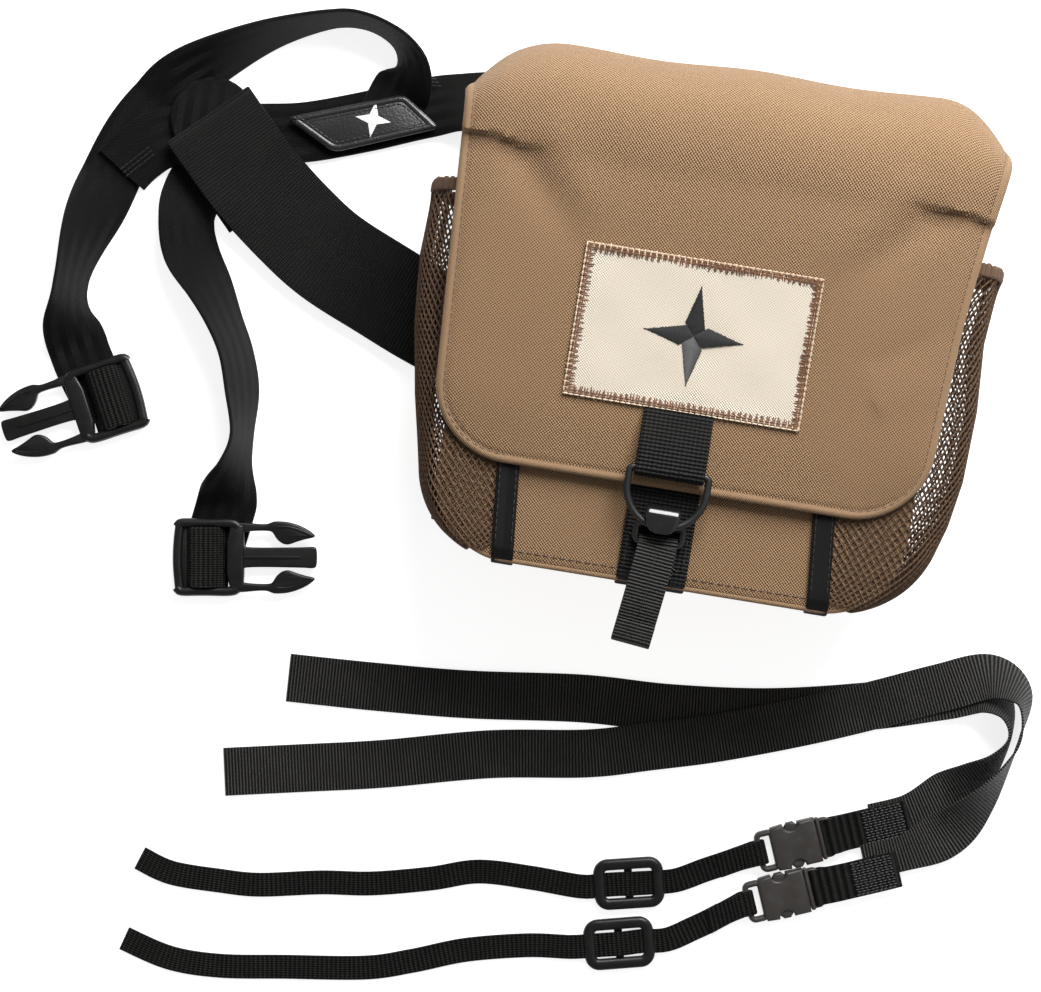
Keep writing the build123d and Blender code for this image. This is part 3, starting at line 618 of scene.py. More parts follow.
def slab(build, outline, low, high, bevel):
    """A flat moulded piece with rounded edges, from a counter-clockwise outline."""
    levels = []
    for i in range(4):
        turn = math.radians(30 * i)
        levels.append((bevel * (1 - math.sin(turn)), low + bevel * (1 - math.cos(turn))))
    levels += [(inset, high + low - z) for inset, z in reversed(levels)]
    points = []
    for inset, z in levels:
        points += [(x, y, z) for x, y in inset_outline(outline, inset)]
    count = len(outline)
    faces = grid_faces(len(levels), count, True)
    faces.append(tuple(reversed(range(count))))
    faces.append(tuple(range((len(levels) - 1) * count, len(levels) * count)))
    build.shell(points, faces)


def rounded(x0, x1, y0, y1, radius, steps=6):
    """A rounded rectangle's outline, counter-clockwise."""
    corners = [(x1 - radius, y1 - radius, 0), (x0 + radius, y1 - radius, 90),
               (x0 + radius, y0 + radius, 180), (x1 - radius, y0 + radius, 270)]
    return [(cx + radius * math.cos(math.radians(start + 90 * i / steps)),
             cy + radius * math.sin(math.radians(start + 90 * i / steps)))
            for cx, cy, start in corners for i in range(steps + 1)]


def rim(build, path, width, height, z, closed=True, power=0.6):
    """A moulded bar with a rounded section, swept along a flat path at height z."""
    sides = 14
    points = []
    for i, (x, y) in enumerate(path):
        left = left_of(path, i, closed)
        for j in range(sides):
            turn = TAU * j / sides
            c = math.copysign(abs(math.cos(turn)) ** power, math.cos(turn))
            s = math.copysign(abs(math.sin(turn)) ** power, math.sin(turn))
            points.append(Vector((x, y, z)) + left * (c * width / 2) + Z_AXIS * (s * height / 2))
    rows = points + points[:sides] if closed else points
    faces = [tuple(i % len(points) for i in face) for face in grid_faces(len(rows) // sides, sides, True)]
    if not closed:
        faces.append(tuple(range(sides)))
        faces.append(tuple(reversed(range(len(points) - sides, len(points)))))
    build.shell(points, faces)


# ---- flap ----
FLAP_PLATE = FLAP_TOP - FLAP_RADIUS - FLAP_BOTTOM
FLAP_BEND_RADIUS = FLAP_RADIUS - FLAP_HALF_THICK
FLAP_LENGTH = FLAP_PLATE + FLAP_BEND_RADIUS * math.pi / 2 + FLAP_FACE - FLAP_RADIUS - FLAP_SEAM
FLARE_LENGTH = 171.5


def flap_path(t):
    """Middle of the flap's fabric at t along it from its lower edge, and its outward normal."""
    bend = FLAP_BEND_RADIUS * math.pi / 2
    centre_y = FLAP_TOP - FLAP_RADIUS
    centre_z = FLAP_FACE - FLAP_RADIUS
    if t < FLAP_PLATE:
        return FLAP_BOTTOM + t, FLAP_FACE - FLAP_HALF_THICK, 0.0, 1.0
    if t < FLAP_PLATE + bend:
        turn = math.pi / 2 - (t - FLAP_PLATE) / FLAP_BEND_RADIUS
        c, s = math.cos(turn), math.sin(turn)
        return centre_y + FLAP_BEND_RADIUS * c, centre_z + FLAP_BEND_RADIUS * s, c, s
    return FLAP_TOP - FLAP_HALF_THICK, centre_z - (t - FLAP_PLATE - bend), 1.0, 0.0


def flap_side(t):
    """Half the flap's width at t, leaving out its rounded lower corners."""
    return FLAP_LOW_HALF + FLAP_FLARE * clamp(t / FLARE_LENGTH)


def flap_half_width(t):
    width = flap_side(t)
    if t < FLAP_CORNER:
        width -= FLAP_CORNER - math.sqrt(max(FLAP_CORNER ** 2 - (FLAP_CORNER - t) ** 2, 0))
    return width


def flap_edge_distance(x, t):
    """How far a point is from the flap's side and lower edges."""
    side = flap_side(t) - abs(x)
    if t < FLAP_CORNER and side < FLAP_CORNER:
        return FLAP_CORNER - math.hypot(FLAP_CORNER - t, FLAP_CORNER - side)
    return min(side, t)


def crease(x, t, start, end, width):
    """1 on a line between two (x, t) points, falling to 0 over width and towards the line's end."""
    ax, at = start
    bx, bt = end
    length = math.hypot(bx - ax, bt - at)
    along = ((x - ax) * (bx - ax) + (t - at) * (bt - at)) / length
    off = abs((x - ax) * (bt - at) - (t - at) * (bx - ax)) / length
    if along < -6 or along > length:
        return 0.0
    return math.exp(-(off / width) ** 2) * (1 - ease(along / length))


def tuck(x, t, hem, inner, valley):
    """A tuck in the hem: fabric steps down below its line, and a soft fold runs on from its end."""
    (ax, at), (bx, bt), (cx, ct) = hem, inner, valley
    reach = (x - ax) / (bx - ax)
    line = at + (bt - at) * reach + 1.2 * math.sin(math.pi * clamp(reach))
    fade = 1 - ease((reach - 0.75) / 0.75)
    below = line - t
    out = 0.0
    if below > 0:
        out -= 2.3 * fade * math.exp(-below / 13.0) * ease(below / 0.9)
    else:
        out += 0.8 * fade * math.exp(below / 7.0)
    along = ((x - bx) * (cx - bx) + (t - bt) * (ct - bt)) / math.hypot(cx - bx, ct - bt) ** 2
    off = ((x - bx) * (ct - bt) - (t - bt) * (cx - bx)) / math.hypot(cx - bx, ct - bt)
    off *= -1 if ax > 0 else 1
    strength = ease((along + 0.15) / 0.3) * (1 - ease((along - 0.25) / 1.1))
    out -= 2.2 * strength * math.exp(-((off - 2.0) / 7.5) ** 2)
    out += 1.4 * strength * math.exp(-((off + 11.0) / 9.0) ** 2)
    return out


def flap_relief(x, t):
    """How far the outer face stands out from the plain path: fullness, folds and tucked corners."""
    full = 4.6 * math.exp(-((x - 10) / 80) ** 2 - ((t - 112) / 40) ** 2)
    full += 1.1 * math.exp(-((x + 64) / 18) ** 2 - ((t - 60) / 40) ** 2)
    full += 1.1 * math.exp(-((x - 62) / 18) ** 2 - ((t - 62) / 44) ** 2)
    full += ROLL_FULLNESS * ease((t - FLAP_PLATE + 8) / 34) * ease((FLAP_LENGTH - t) / 26)
    full += 0.7 * math.sin(x * 0.085 + 1.0) * ease((t - FLAP_PLATE) / 40) * ease((FLAP_LENGTH - t) / 20)
    sides = -3.4 * ease((abs(x) - 82) / 22) ** 1.5
    low = -1.2 * ease((24 - t) / 26) - 2.0 * ease((abs(x) - 48) / 40) * ease((34 - t) / 34)
    folds = tuck(x, t, (-103, FLAP_PLATE + 0.5), (-78, FLAP_PLATE - 1.5), (-50, FLAP_PLATE - 34))
    folds += tuck(x, t, (103, FLAP_PLATE - 3.5), (78, FLAP_PLATE - 0.5), (50, FLAP_PLATE - 34))
    folds -= 0.9 * crease(x, t, (70, 62), (104, 84), 5.0)
    folds += 0.9 * crease(x, t, (74, 46), (104, 66), 6.0)
    return full + sides + low + folds


def flap_outline_pull(x, t):
    """How far the top corners are drawn down and in, towards the front of the pack."""
    over = ease((t - FLAP_PLATE - 4) / 46)
    left = 19 * clamp((-x - 64) / 39) ** 2.4
    right = 16 * clamp((x - 76) / 27) ** 2.0
    return over * (left + right - 0.018 * x)


def flap_point(x, t, side):
    """A point of the flap's outer (side 1) or inner (side -1) face."""
    y, z, ny, nz = flap_path(t)
    edge = min(flap_edge_distance(x, t), FLAP_LENGTH - t)
    thick = FLAP_HALF_THICK * math.sqrt(clamp(1 - (1 - clamp(edge / 1.6)) ** 2))
    relief = flap_relief(x, t)
    if side > 0:
        groove = 0.55 * math.exp(-((edge - HEM) / 0.8) ** 2)
        relief += 0.25 * ease((HEM - edge) / 1.4) - groove
    out = relief + side * thick
    flare = 6.5 * ease((t - 70) / 100) * clamp(x / 100) ** 2 - 1.8 * clamp(-x / 100) ** 2
    return Vector((x + flare, y + ny * out - flap_outline_pull(x, t), z + nz * out))


def flap_front(x, y, lift=0.0):
    """A point on the outer face of the flap's front, lifted off it."""
    return flap_point(x, y - FLAP_BOTTOM, 1) + Vector((0, 0, lift))


def flap_rows():
    corner = [FLAP_CORNER * (1 - math.cos(math.pi / 2 * i / 26)) for i in range(26)]
    count = 150
    return corner + [FLAP_CORNER + (FLAP_LENGTH - FLAP_CORNER) * i / count for i in range(count + 1)]


def make_flap():
    ts = flap_rows()
    columns = 171
    lines = [-1 + 2 * j / (columns - 1) for j in range(columns)]
    lines = [math.sin(s * math.pi / 2) * 0.35 + s * 0.65 for s in lines]
    build = Build()
    for side, slot in ((1, 0), (-1, 1)):
        points = []
        uvs = []
        for t in ts:
            half = flap_half_width(t)
            points += [flap_point(s * half, t, side) for s in lines]
            uvs += [(s * half, t) for s in lines]
        faces = grid_faces(len(ts), columns)
        build.shell(points, flipped(faces) if side < 0 else faces, uvs, slot)
    nodes = ["flap_top", "flap_front", "flap_lining"]
    flap = build.make("flap_skin", None, [TAN, LINING, TAN_HEM], nodes, 60)
    weld(flap)
    for face in flap.data.polygons:
        x, t = flap.data.uv_layers[0].data[face.loop_start].uv
        if face.material_index == 0 and flap_edge_distance(x, t) < HEM:
            face.material_index = 2
    blend_flap(flap)
    line = [flap_point(x, t, 1) + Vector((0, 0, 0.05)) for x, t in flap_hem_line()]
    blend_flap(sew("flap_hem_stitches", None, TAN_THREAD, [line], 3.1, 2.2, 0.24))


def flap_hem_line():
    """(x, t) points of the stitch line that runs round the flap inside its hem."""
    reach = FLAP_CORNER - HEM
    middle = flap_half_width(FLAP_CORNER) - FLAP_CORNER
    steps = 70
    left = []
    for i in range(steps):
        t = FLAP_LENGTH - 3 - (FLAP_LENGTH - 3 - FLAP_CORNER) * i / steps
        left.append((HEM - flap_half_width(t), t))
    for i in range(16):
        turn = math.radians(90 * i / 15)
        left.append((-middle - reach * math.cos(turn), FLAP_CORNER - reach * math.sin(turn)))
    return left + [(-x, t) for x, t in reversed(left)]


def weld(piece):
    mesh = bmesh.new()
    mesh.from_mesh(piece.data)
    bmesh.ops.remove_doubles(mesh, verts=mesh.verts, dist=0.00002)
    mesh.to_mesh(piece.data)
    mesh.free()


def blend_flap(piece):
    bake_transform(piece)


# ---- patch on the flap ----
PATCH = (-48.0, 42.0, -32.0, 26.0)
PATCH_CENTRE = (-3.0, -3.0)
PATCH_EDGE = 3.6


def make_patch():
    x0, x1, y0, y1 = PATCH
    build = Build()
    columns = 61
    rows = 41
    points = []
    margin = 0.8
    for lift in (0.15, 1.0):
        for i in range(rows):
            for j in range(columns):
                x = x0 + margin + (x1 - x0 - 2 * margin) * j / (columns - 1)
                y = y0 + margin + (y1 - y0 - 2 * margin) * i / (rows - 1)
                puff = 0.25 * math.sin(x * 0.16 + 1.1) * math.sin(y * 0.21) if lift > 0.5 else 0.0
                points.append(flap_front(x, y, lift + puff))
    build.shell(points, plate_faces(rows, columns))
    canvas = build.make("patch_cloth", "flap_front", [CANVAS], ["patch_canvas"])
    make_patch_border()
    make_motif()


def make_patch_border():
    """Overlock stitches side by side round the patch: brown threads with pale fibre between them."""
    draw = random.Random(5)
    x0, x1, y0, y1 = PATCH
    build = Build()
    sides = [((x0, y0), (x1, y0), (0, 1)), ((x1, y0), (x1, y1), (-1, 0)),
             ((x1, y1), (x0, y1), (0, -1)), ((x0, y1), (x0, y0), (1, 0))]
    for (ax, ay), (bx, by), (nx, ny) in sides:
        length = math.hypot(bx - ax, by - ay)
        tx, ty = (bx - ax) / length, (by - ay) / length
        count = int(length / 0.72)
        for i in range(count):
            t = (i + 0.5 + draw.uniform(-0.25, 0.25)) / count
            slant = draw.uniform(-0.25, 0.35)
            pale = 1 if i % 3 == 1 else 0
            reach = PATCH_EDGE * (0.5 if pale else 1.0) + draw.uniform(-0.4, 0.5)
            outer = draw.uniform(-0.6, 0.2)
            px = ax + (bx - ax) * t
            py = ay + (by - ay) * t
            start = flap_front(px + nx * outer - tx * slant, py + ny * outer - ty * slant, 0.45)
            end = flap_front(px + nx * reach + tx * slant, py + ny * reach + ty * slant, 1.0)
            capsule(build, start, end, 0.32, Z_AXIS * 0.5, pale, 5, 4)
        for row, slot in ((0.2, 1), (1.0, 0), (1.9, 0)):
            line = [flap_front(ax + (bx - ax) * k / 60 + nx * row, ay + (by - ay) * k / 60 + ny * row, 1.15)
                    for k in range(61)]
            stitch_row(build, line, 2.2, 1.9, 0.36, slot)
    threads = [BROWN_THREAD, PALE_THREAD]
    build.make("patch_border_thread", "flap_front", threads, ["patch_border"])


def make_motif():
    """A plain four-pointed star in satin stitch."""
    draw = random.Random(9)
    build = Build()
    cx, cy = PATCH_CENTRE
    reach = 19.0
    knee = 5.6 * math.cos(math.radians(45))
    lean = 0.25
    count = 46
    for quarter in range(4):
        turn = math.radians(90 * quarter)
        out = Vector((math.cos(turn), math.sin(turn)))
        side = Vector((-out.y, out.x))
        for i in range(count):
            along = 0.4 + (reach - 0.6) * i / (count - 1)
            half = along if along < knee else knee * (reach - along) / (reach - knee)
            half = max(half + draw.uniform(-0.12, 0.12), 0.25)
            start = Vector((cx, cy)) + out * (along - lean * half) - side * half
            end = Vector((cx, cy)) + out * (along + lean * half) + side * half
            capsule(build, flap_front(start.x, start.y, 1.15), flap_front(end.x, end.y, 1.15),
                    0.3, Z_AXIS * min(0.5, 0.12 * half), 0, 5, 5)
    build.make("star_embroidery", "flap_front", [BLACK_THREAD], ["patch_motif"])


# ---- pack body ----
def outline_point(p, inset=0.0):
    """A point on the U of the two sides and the bottom, p from 0 at the top left to 1 at the top
    right, and the outward direction there."""
    straight = BODY_MOUTH - BODY_BOTTOM - BODY_CORNER
    arc = BODY_CORNER * math.pi / 2
    floor = 2 * (BODY_HALF - BODY_CORNER)
    distance = clamp(p) * (2 * straight + 2 * arc + floor)
    side = -1
    if distance > straight + arc + floor / 2:
        distance = 2 * straight + 2 * arc + floor - distance
        side = 1
    if distance < straight:
        spot, out = (BODY_HALF, BODY_MOUTH - distance), (1.0, 0.0)
    elif distance < straight + arc:
        turn = (distance - straight) / BODY_CORNER
        out = (math.cos(turn), -math.sin(turn))
        spot = (BODY_HALF - BODY_CORNER + BODY_CORNER * out[0],
                BODY_BOTTOM + BODY_CORNER + BODY_CORNER * out[1])
    else:
        spot, out = (BODY_HALF - BODY_CORNER - (distance - straight - arc), BODY_BOTTOM), (0.0, -1.0)
    place = Vector((side * (spot[0] - out[0] * inset), spot[1] - out[1] * inset, 0))
    return place, Vector((side * out[0], out[1], 0))


def outline_length():
    straight = BODY_MOUTH - BODY_BOTTOM - BODY_CORNER
    return 2 * straight + BODY_CORNER * math.pi + 2 * (BODY_HALF - BODY_CORNER)


def body_half_width(y, inset=0.0):
    low = BODY_BOTTOM + BODY_CORNER
    if y >= low:
        return BODY_HALF - inset
    radius = BODY_CORNER - inset
    return BODY_HALF - BODY_CORNER + math.sqrt(max(radius ** 2 - (low - y) ** 2, 0))


def make_gusset():
    """Side and bottom wall: canvas outside, foam between, lining inside."""
    build = Build()
    along = 240
    heights = [BACK_HIGH + 0.2 + (FRONT - 1.6 - BACK_HIGH - 0.2) * k / 24 for k in range(25)]
    span = outline_length()
    for face, slot in ((1, 0), (-1, 1)):
        points = []
        uvs = []
        for i in range(along + 1):
            p = i / along
            spot, out = outline_point(p)
            edge = min(p, 1 - p) * span
            for z in heights:
                part = (z - heights[0]) / (heights[-1] - heights[0])
                rim_gap = min(edge, 4.0) / 4.0
                thick = WALL / 2 * math.sqrt(clamp(1 - (1 - rim_gap) ** 2))
                belly = 0.9 * math.sin(math.pi * part) * math.sin(p * 23.0) ** 2
                offset = -WALL / 2 + face * thick + (belly if face > 0 else 0)
                points.append(spot + out * offset + Z_AXIS * z)
                uvs.append((p * span, z))
        faces = grid_faces(along + 1, len(heights))
        build.shell(points, flipped(faces) if face > 0 else faces, uvs, slot)
    count = (along + 1) * len(heights)
    rows = len(heights)
    closing = []
    for i in range(along):
        a, b = i * rows, (i + 1) * rows
        closing.append((a, b, b + count, a + count))
        a, b = a + rows - 1, b + rows - 1
        closing.append((b, a, a + count, b + count))
    build.faces += closing
    build.uvs += [[(0, 0)] * 4 for _ in closing]
    build.slots += [0] * len(closing)
    nodes = ["gusset", "gusset_foam", "lining"]
    wall = build.make("gusset_wall", "pack", [TAN, LINING], nodes, 60)
    weld(wall)


def front_height(x, y):
    """Outer face of the front panel: nearly flat, rolled over at its seam, slightly full."""
    gap = min(body_half_width(y) - abs(x), y - BODY_BOTTOM)
    roll = 1.5 * (1 - math.sqrt(clamp(1 - (1 - clamp(gap / 4.0)) ** 2)))
    return FRONT - 0.25 - roll + 0.25 * math.sin(x * 0.11 + 0.6) * ease(gap / 10)


def wall_plate(name, y_top, low, outer, inside, nodes, down):
    """A padded wall over the body's outline. outer(x, y) is its outside face, inside the material
    of its other face; a wall that faces down has rounded top corners as well."""
    build = Build()
    start = BODY_BOTTOM + BODY_CORNER
    ys = [BODY_BOTTOM + BODY_CORNER * (1 - math.cos(math.pi / 2 * i / 14)) for i in range(14)]
    ys += [start + (y_top - BODY_BOTTOM - BODY_CORNER) * i / 56 for i in range(57)]
    top_corner = 26
    columns = 81
    lines = [math.sin(math.pi / 2 * (-1 + 2 * j / (columns - 1))) for j in range(columns)]
    shapes = []
    for face in (0, 1):
        points = []
        for y in ys:
            half = body_half_width(y)
            if down:
                rise = clamp((y - (y_top - top_corner)) / top_corner)
                half = half - top_corner + top_corner * math.sqrt(max(1 - rise ** 2, 0))
            points += [(s * half, y, outer(s * half, y) if face else low) for s in lines]
        shapes.append(points)
    faces = grid_faces(len(ys), columns)
    build.shell(shapes[1], flipped(faces) if down else faces, None, 0)
    build.shell(shapes[0], faces if down else flipped(faces), None, 1)
    border = grid_border(len(ys), columns)
    base = len(ys) * columns
    for a, b in zip(border, border[1:] + border[:1]):
        quad = (b, a, a + base, b + base)
        build.faces.append(tuple(reversed(quad)) if down else quad)
        build.uvs.append([(build.points[i].x, build.points[i].y) for i in quad])
        build.slots.append(0)
    wall = build.make(name, "pack", [TAN, inside], nodes, 60)


def make_walls():
    make_gusset()
    wall_plate("front_wall", BODY_MOUTH, FRONT - 6.5, front_height, LINING,
               ["front_panel", "front_foam"], False)
    wall_plate("back_panel", BACK_TOP - 1.5, BACK_HIGH - 0.1, lambda x, y: BACK_LOW, TAN,
               ["back_wall"], True)
    make_back_lining()


def make_back_lining():
    """The soft lining on the inside of the back wall."""
    build = Build()
    count = 31
    points = []
    for z in (BACK_HIGH, BACK_HIGH + 4.6):
        for i in range(count):
            y = BODY_BOTTOM + WALL + (BODY_MOUTH - BODY_BOTTOM - WALL - 0.5) * i / (count - 1)
            half = body_half_width(y, WALL) - 0.1
            points += [(half * (j / 15 - 1), y, z) for j in range(count)]
    build.shell(points, plate_faces(count, count))
    floor = build.make("back_lining", "pack", [LINING], ["back_foam"])


def make_piping():
    """Seam piping round the front and back edges, with its stitch line."""
    for name, z, inset in (("front", FRONT - 1.7, 0.3), ("back", BACK_HIGH + 0.6, 0.2)):
        build = Build()
        path = []
        for i in range(261):
            spot, out = outline_point(i / 260)
            path.append((spot.x - out.x * inset, spot.y - out.y * inset))
        rim(build, path, 2.3, 2.3, z, closed=False, power=1.0)
        build.make("piping_%s" % name, "pack", [TAN_HEM])
    seam = [outline_point(i / 260, 4.2)[0] for i in range(261)]
    line = [Vector((spot.x, spot.y, front_height(spot.x, spot.y) + 0.15)) for spot in seam]
    sew("front_seam_stitches", "pack", TAN_THREAD, [line], 3.2, 2.3, 0.24)


def make_mouth_binding():
    """Tape over the rim of the opening."""
    build = Build()
    rows = []
    half = BODY_HALF - WALL / 2
    top = FRONT - 3.2
    stations = [(-half, BACK_HIGH + 3), (-half, 40), (-half, 70), (-half + 1.2, top - 5), (-half + 6, top),
                (-40, top), (0, top), (40, top), (half - 6, top), (half - 1.2, top - 5), (half, 70),
                (half, 40), (half, BACK_HIGH + 3)]
    path = curve_through([(x, BODY_MOUTH - 0.2, z) for x, z in stations], 3.0)
    for i, spot in enumerate(path):
        rows.append((Vector(spot), Vector((0, -1, 0)).cross(travel_at(path, i)), 7.2))
    band_shell(build, rows, 2.4, 12)
    build.make("mouth_binding", "pack", [GROSGRAIN])


def make_back_pad():
    """A padded, quilted back panel with a bound edge."""
    build = Build()
    x0, x1, y0, y1 = -52.0, 52.0, -88.0, 78.0
    corner = 14
    columns, rows = 61, 91
    top = []
    bottom = []
    for i in range(rows):
        y = y0 + (y1 - y0) * i / (rows - 1)
        drop = max(y0 + corner - y, y - (y1 - corner), 0)
        half = x1 - corner + math.sqrt(max(corner ** 2 - drop ** 2, 0))
        for j in range(columns):
            s = -1 + 2 * j / (columns - 1)
            x = s * half
            gap = min(half - abs(x), y - y0, y1 - y)
            dome = math.sqrt(clamp(1 - (1 - clamp(gap / 7.0)) ** 2))
            channel = 2.2 * math.exp(-((abs(y + 5) - 42) / 2.2) ** 2) * ease(gap / 8)
            bottom.append((x, y, 4.6 - 4.6 * dome + channel))
            top.append((x, y, 4.6 + 4.2 * dome))
    flat = grid_faces(rows, columns)
    build.shell(bottom, flipped(flat))
    build.shell(top, flat)
    nodes = ["back_pad_cover", "back_pad_foam"]
    pad = build.make("back_pad", "pack", [SPACER], nodes, 70)
    weld(pad)
    edge = Build()
    rim(edge, rounded(x0, x1, y0, y1, corner, 10), 2.6, 3.4, 4.6, power=1.0)
    edge.make("back_pad_binding", "pack", [GROSGRAIN])


# ---- mesh side pockets ----
POCKET_TURNS = [(0, 40), (0, 34), (0, 14), (0, -12), (0, -40), (0, -58), (0, -68),
                (12, -68), (24, -68), (36, -68), (49, -68), (62, -68)]
POCKET_BULGES = {-1: (18.5, 18.5, 19.5, 17.5, 13.0, 9.2, 7.2, 6.0, 4.8, 3.6, 2.2, 1.2),
                 1: (21.5, 20.5, 19.0, 20.5, 19.5, 16.5, 13.5, 11.0, 8.5, 6.0, 3.6, 1.6)}
BINDINGS = {-1: -63.0, 1: 58.6}


def tape_x(side, y):
    """Middle of the tape down a pocket's front edge: both tapes lean the same way below the flap."""
    return BINDINGS[side] + TAPE_LEAN * (-75 - min(y, -50))


def pocket_section(side, b):
    """The line round the pocket's front, side and back at b, from 0 at its mouth to 1 at its end."""
    spot = clamp(b) * (len(POCKET_TURNS) - 1)
    index = min(int(spot), len(POCKET_TURNS) - 2)
    part = spot - index
    rows = [turn + (fullness,) for turn, fullness in zip(POCKET_TURNS, POCKET_BULGES[side])]
    angle, y, bulge = [p + (q - p) * part for p, q in zip(rows[index], rows[index + 1])]
    turn = math.radians(angle)
    out = Vector((math.cos(turn), -math.sin(turn), 0))
    edge = Vector((BODY_HALF - BODY_CORNER, y, 0)) + out * BODY_CORNER
    start = abs(tape_x(side, y)) + 3.0
    first = min(start, edge.x - 2)
    wrap = (out * 0.9 + Z_AXIS * 1.1).normalized()
    points = [Vector((first, edge.y, FRONT + 0.5)), Vector(((first + edge.x) / 2, edge.y, FRONT + 1.0)),
              edge + Z_AXIS * (FRONT - 1.5) + wrap * 1.8, edge + Z_AXIS * 80 + out * (1.0 + 0.6 * bulge),
              edge + Z_AXIS * 68 + out * (1.0 + bulge), edge + Z_AXIS * 46 + out * (1.0 + bulge),
              edge + Z_AXIS * 23 + out * (1.0 + 0.6 * bulge), edge + Z_AXIS * 12 + out * 0.6]
    return [(side * p.x, p.y, p.z) for p in points]


def make_pocket(side, name):
    """The pocket's knitted net: wires along the edges of a diamond lattice."""
    cell = 1.95
    length = 0.0
    for (_, y), (_, v) in zip(POCKET_TURNS[:7], POCKET_TURNS[1:7]):
        length += abs(y - v)
    length += BODY_CORNER * math.radians(62)
    count = int(length / cell)
    across = 72
    lattice = {}
    points = []
    for i in range(count + 1):
        line = curve_through(pocket_section(side, row_for(length * i / count)), 0.9)
        travel = [0.0]
        for p, q in zip(line, line[1:]):
            travel.append(travel[-1] + math.dist(p, q))
        k = 0
        for j in range(across + 1):
            target = travel[-1] * j / across
            while k < len(travel) - 2 and travel[k + 1] < target:
                k += 1
            part = clamp((target - travel[k]) / max(travel[k + 1] - travel[k], 1e-6))
            lattice[i, j] = len(points)
            p = Vector(line[k]).lerp(Vector(line[k + 1]), part)
            gather = 0.7 * math.sin(j * 0.9) * math.exp(-i / 5.0)
            points.append(p + Vector((side * gather, 0, 0)) if j > 8 else p)
    faces = []
    for i in range(1, count):
        for j in range(1, across):
            if (i + j) % 2:
                faces.append((lattice[i - 1, j], lattice[i, j - 1], lattice[i + 1, j], lattice[i, j + 1]))
    used = sorted({v for f in faces for v in f})
    remap = {v: k for k, v in enumerate(used)}
    mesh = bpy.data.meshes.new("net")
    mesh.from_pydata([points[v] * MM for v in used], [], [tuple(remap[v] for v in f) for f in faces])
    net = bpy.data.objects.new("net", mesh)
    bpy.context.collection.objects.link(net)
    wires = net.modifiers.new("wires", "WIREFRAME")
    wires.thickness = 0.95 * MM
    wires.use_even_offset = False
    wires.use_boundary = True
    shaped = bpy.data.meshes.new_from_object(net.evaluated_get(bpy.context.evaluated_depsgraph_get()))
    bpy.data.objects.remove(net)
    layer = shaped.uv_layers.new(name="UVMap")
    for loop in shaped.loops:
        p = shaped.vertices[loop.vertex_index].co / MM
        layer.data[loop.index].uv = (p.x + p.z, p.y)
    shaped.materials.append(MESH_KNIT)
    shaped.shade_smooth()
    piece = bpy.data.objects.new("mesh_net_%s" % name, shaped)
    bpy.context.collection.objects.link(piece)
    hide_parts("mesh_pocket_%s" % name)
    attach(piece, "pack")
    make_elastic(side, name)


def row_for(distance):
    """The pocket row parameter at a distance down from the pocket's mouth."""
    travelled = 0.0
    for k, (one, two) in enumerate(zip(POCKET_TURNS, POCKET_TURNS[1:])):
        span = abs(one[1] - two[1]) + BODY_CORNER * math.radians(two[0] - one[0])
        if travelled + span >= distance:
            return (k + (distance - travelled) / span) / (len(POCKET_TURNS) - 1)
        travelled += span
    return 1.0


def make_elastic(side, name):
    """The pocket's gathered hem: a soft tube of mesh puckered over elastic."""
    build = Build()
    line = curve_through(pocket_section(side, 0.0), 0.8)
    rows = []
    for i, p in enumerate(line):
        pucker = math.sin(i * 1.35) + 0.5 * math.sin(i * 0.83 + 1.0)
        out = Y_AXIS.cross(travel_at(line, i)) * side
        spot = Vector(p) + out * (0.35 * pucker) + Vector((0, 1.2 + 0.3 * pucker, 0))
        rows.append((spot, -Y_AXIS, 5.0 + 0.5 * pucker))
    band_shell(build, rows, 1.9, 12)
    build.make("pocket_hem_%s" % name, "pack", [MESH_KNIT], ["pocket_elastic_%s" % name])


def make_pocket_tapes():
    for side, name in ((-1, "left"), (1, "right")):
        build = Build()
        points = [(41.5, FRONT + 1.5), (0, FRONT + 1.5), (-60, FRONT + 1.3), (-90, FRONT + 1.2),
                  (-95, FRONT + 0.5), (-98.6, FRONT - 2.5), (-99.2, FRONT - 8)]
        rows = [(Vector((tape_x(side, centre.y), centre.y, centre.z)), across, width)
                for centre, across, width in profile_rows(points, 0, 8.5)]
        band_shell(build, rows, 1.3)
        build.make("pocket_tape_%s" % name, "pack", [TAPE], ["binding_%s" % name])
        lines = [[Vector((tape_x(side, y) + off, y, FRONT + 2.15)) for y in range(40, -94, -1)]
                 for off in (-3.1, 3.1)]
        sew("pocket_tape_stitches_%s" % name, "pack", BLACK_THREAD, lines, 2.8, 2.0, 0.22)


def make_lower_webbing():
    """The webbing sewn up the front panel to the hook, with its box stitch."""
    build = Build()
    points = [(-48, FRONT + 0.9), (-70, FRONT + 0.9), (-90, FRONT + 0.8), (-95, FRONT + 0.2),
              (-98.8, FRONT - 2.6), (-99.4, FRONT - 9)]
    band_shell(build, profile_rows(points, CLOSURE_X, CLOSURE_WIDTH), 1.5, 24)
    web = build.make("lower_webbing", "pack", [BODY_WEB], ["body_webbing"])
    half = CLOSURE_WIDTH / 2 - 2
    corners = [(-half, -80), (half, -80), (half, -93), (-half, -93), (-half, -80), (half, -93)]
    lines = [[Vector((CLOSURE_X + ax + (bx - ax) * k / 20, ay + (by - ay) * k / 20, FRONT + 1.75))
              for k in range(21)] for (ax, ay), (bx, by) in zip(corners, corners[1:])]
    sew("lower_webbing_stitches", "pack", BLACK_THREAD, lines, 2.4, 1.8, 0.22)


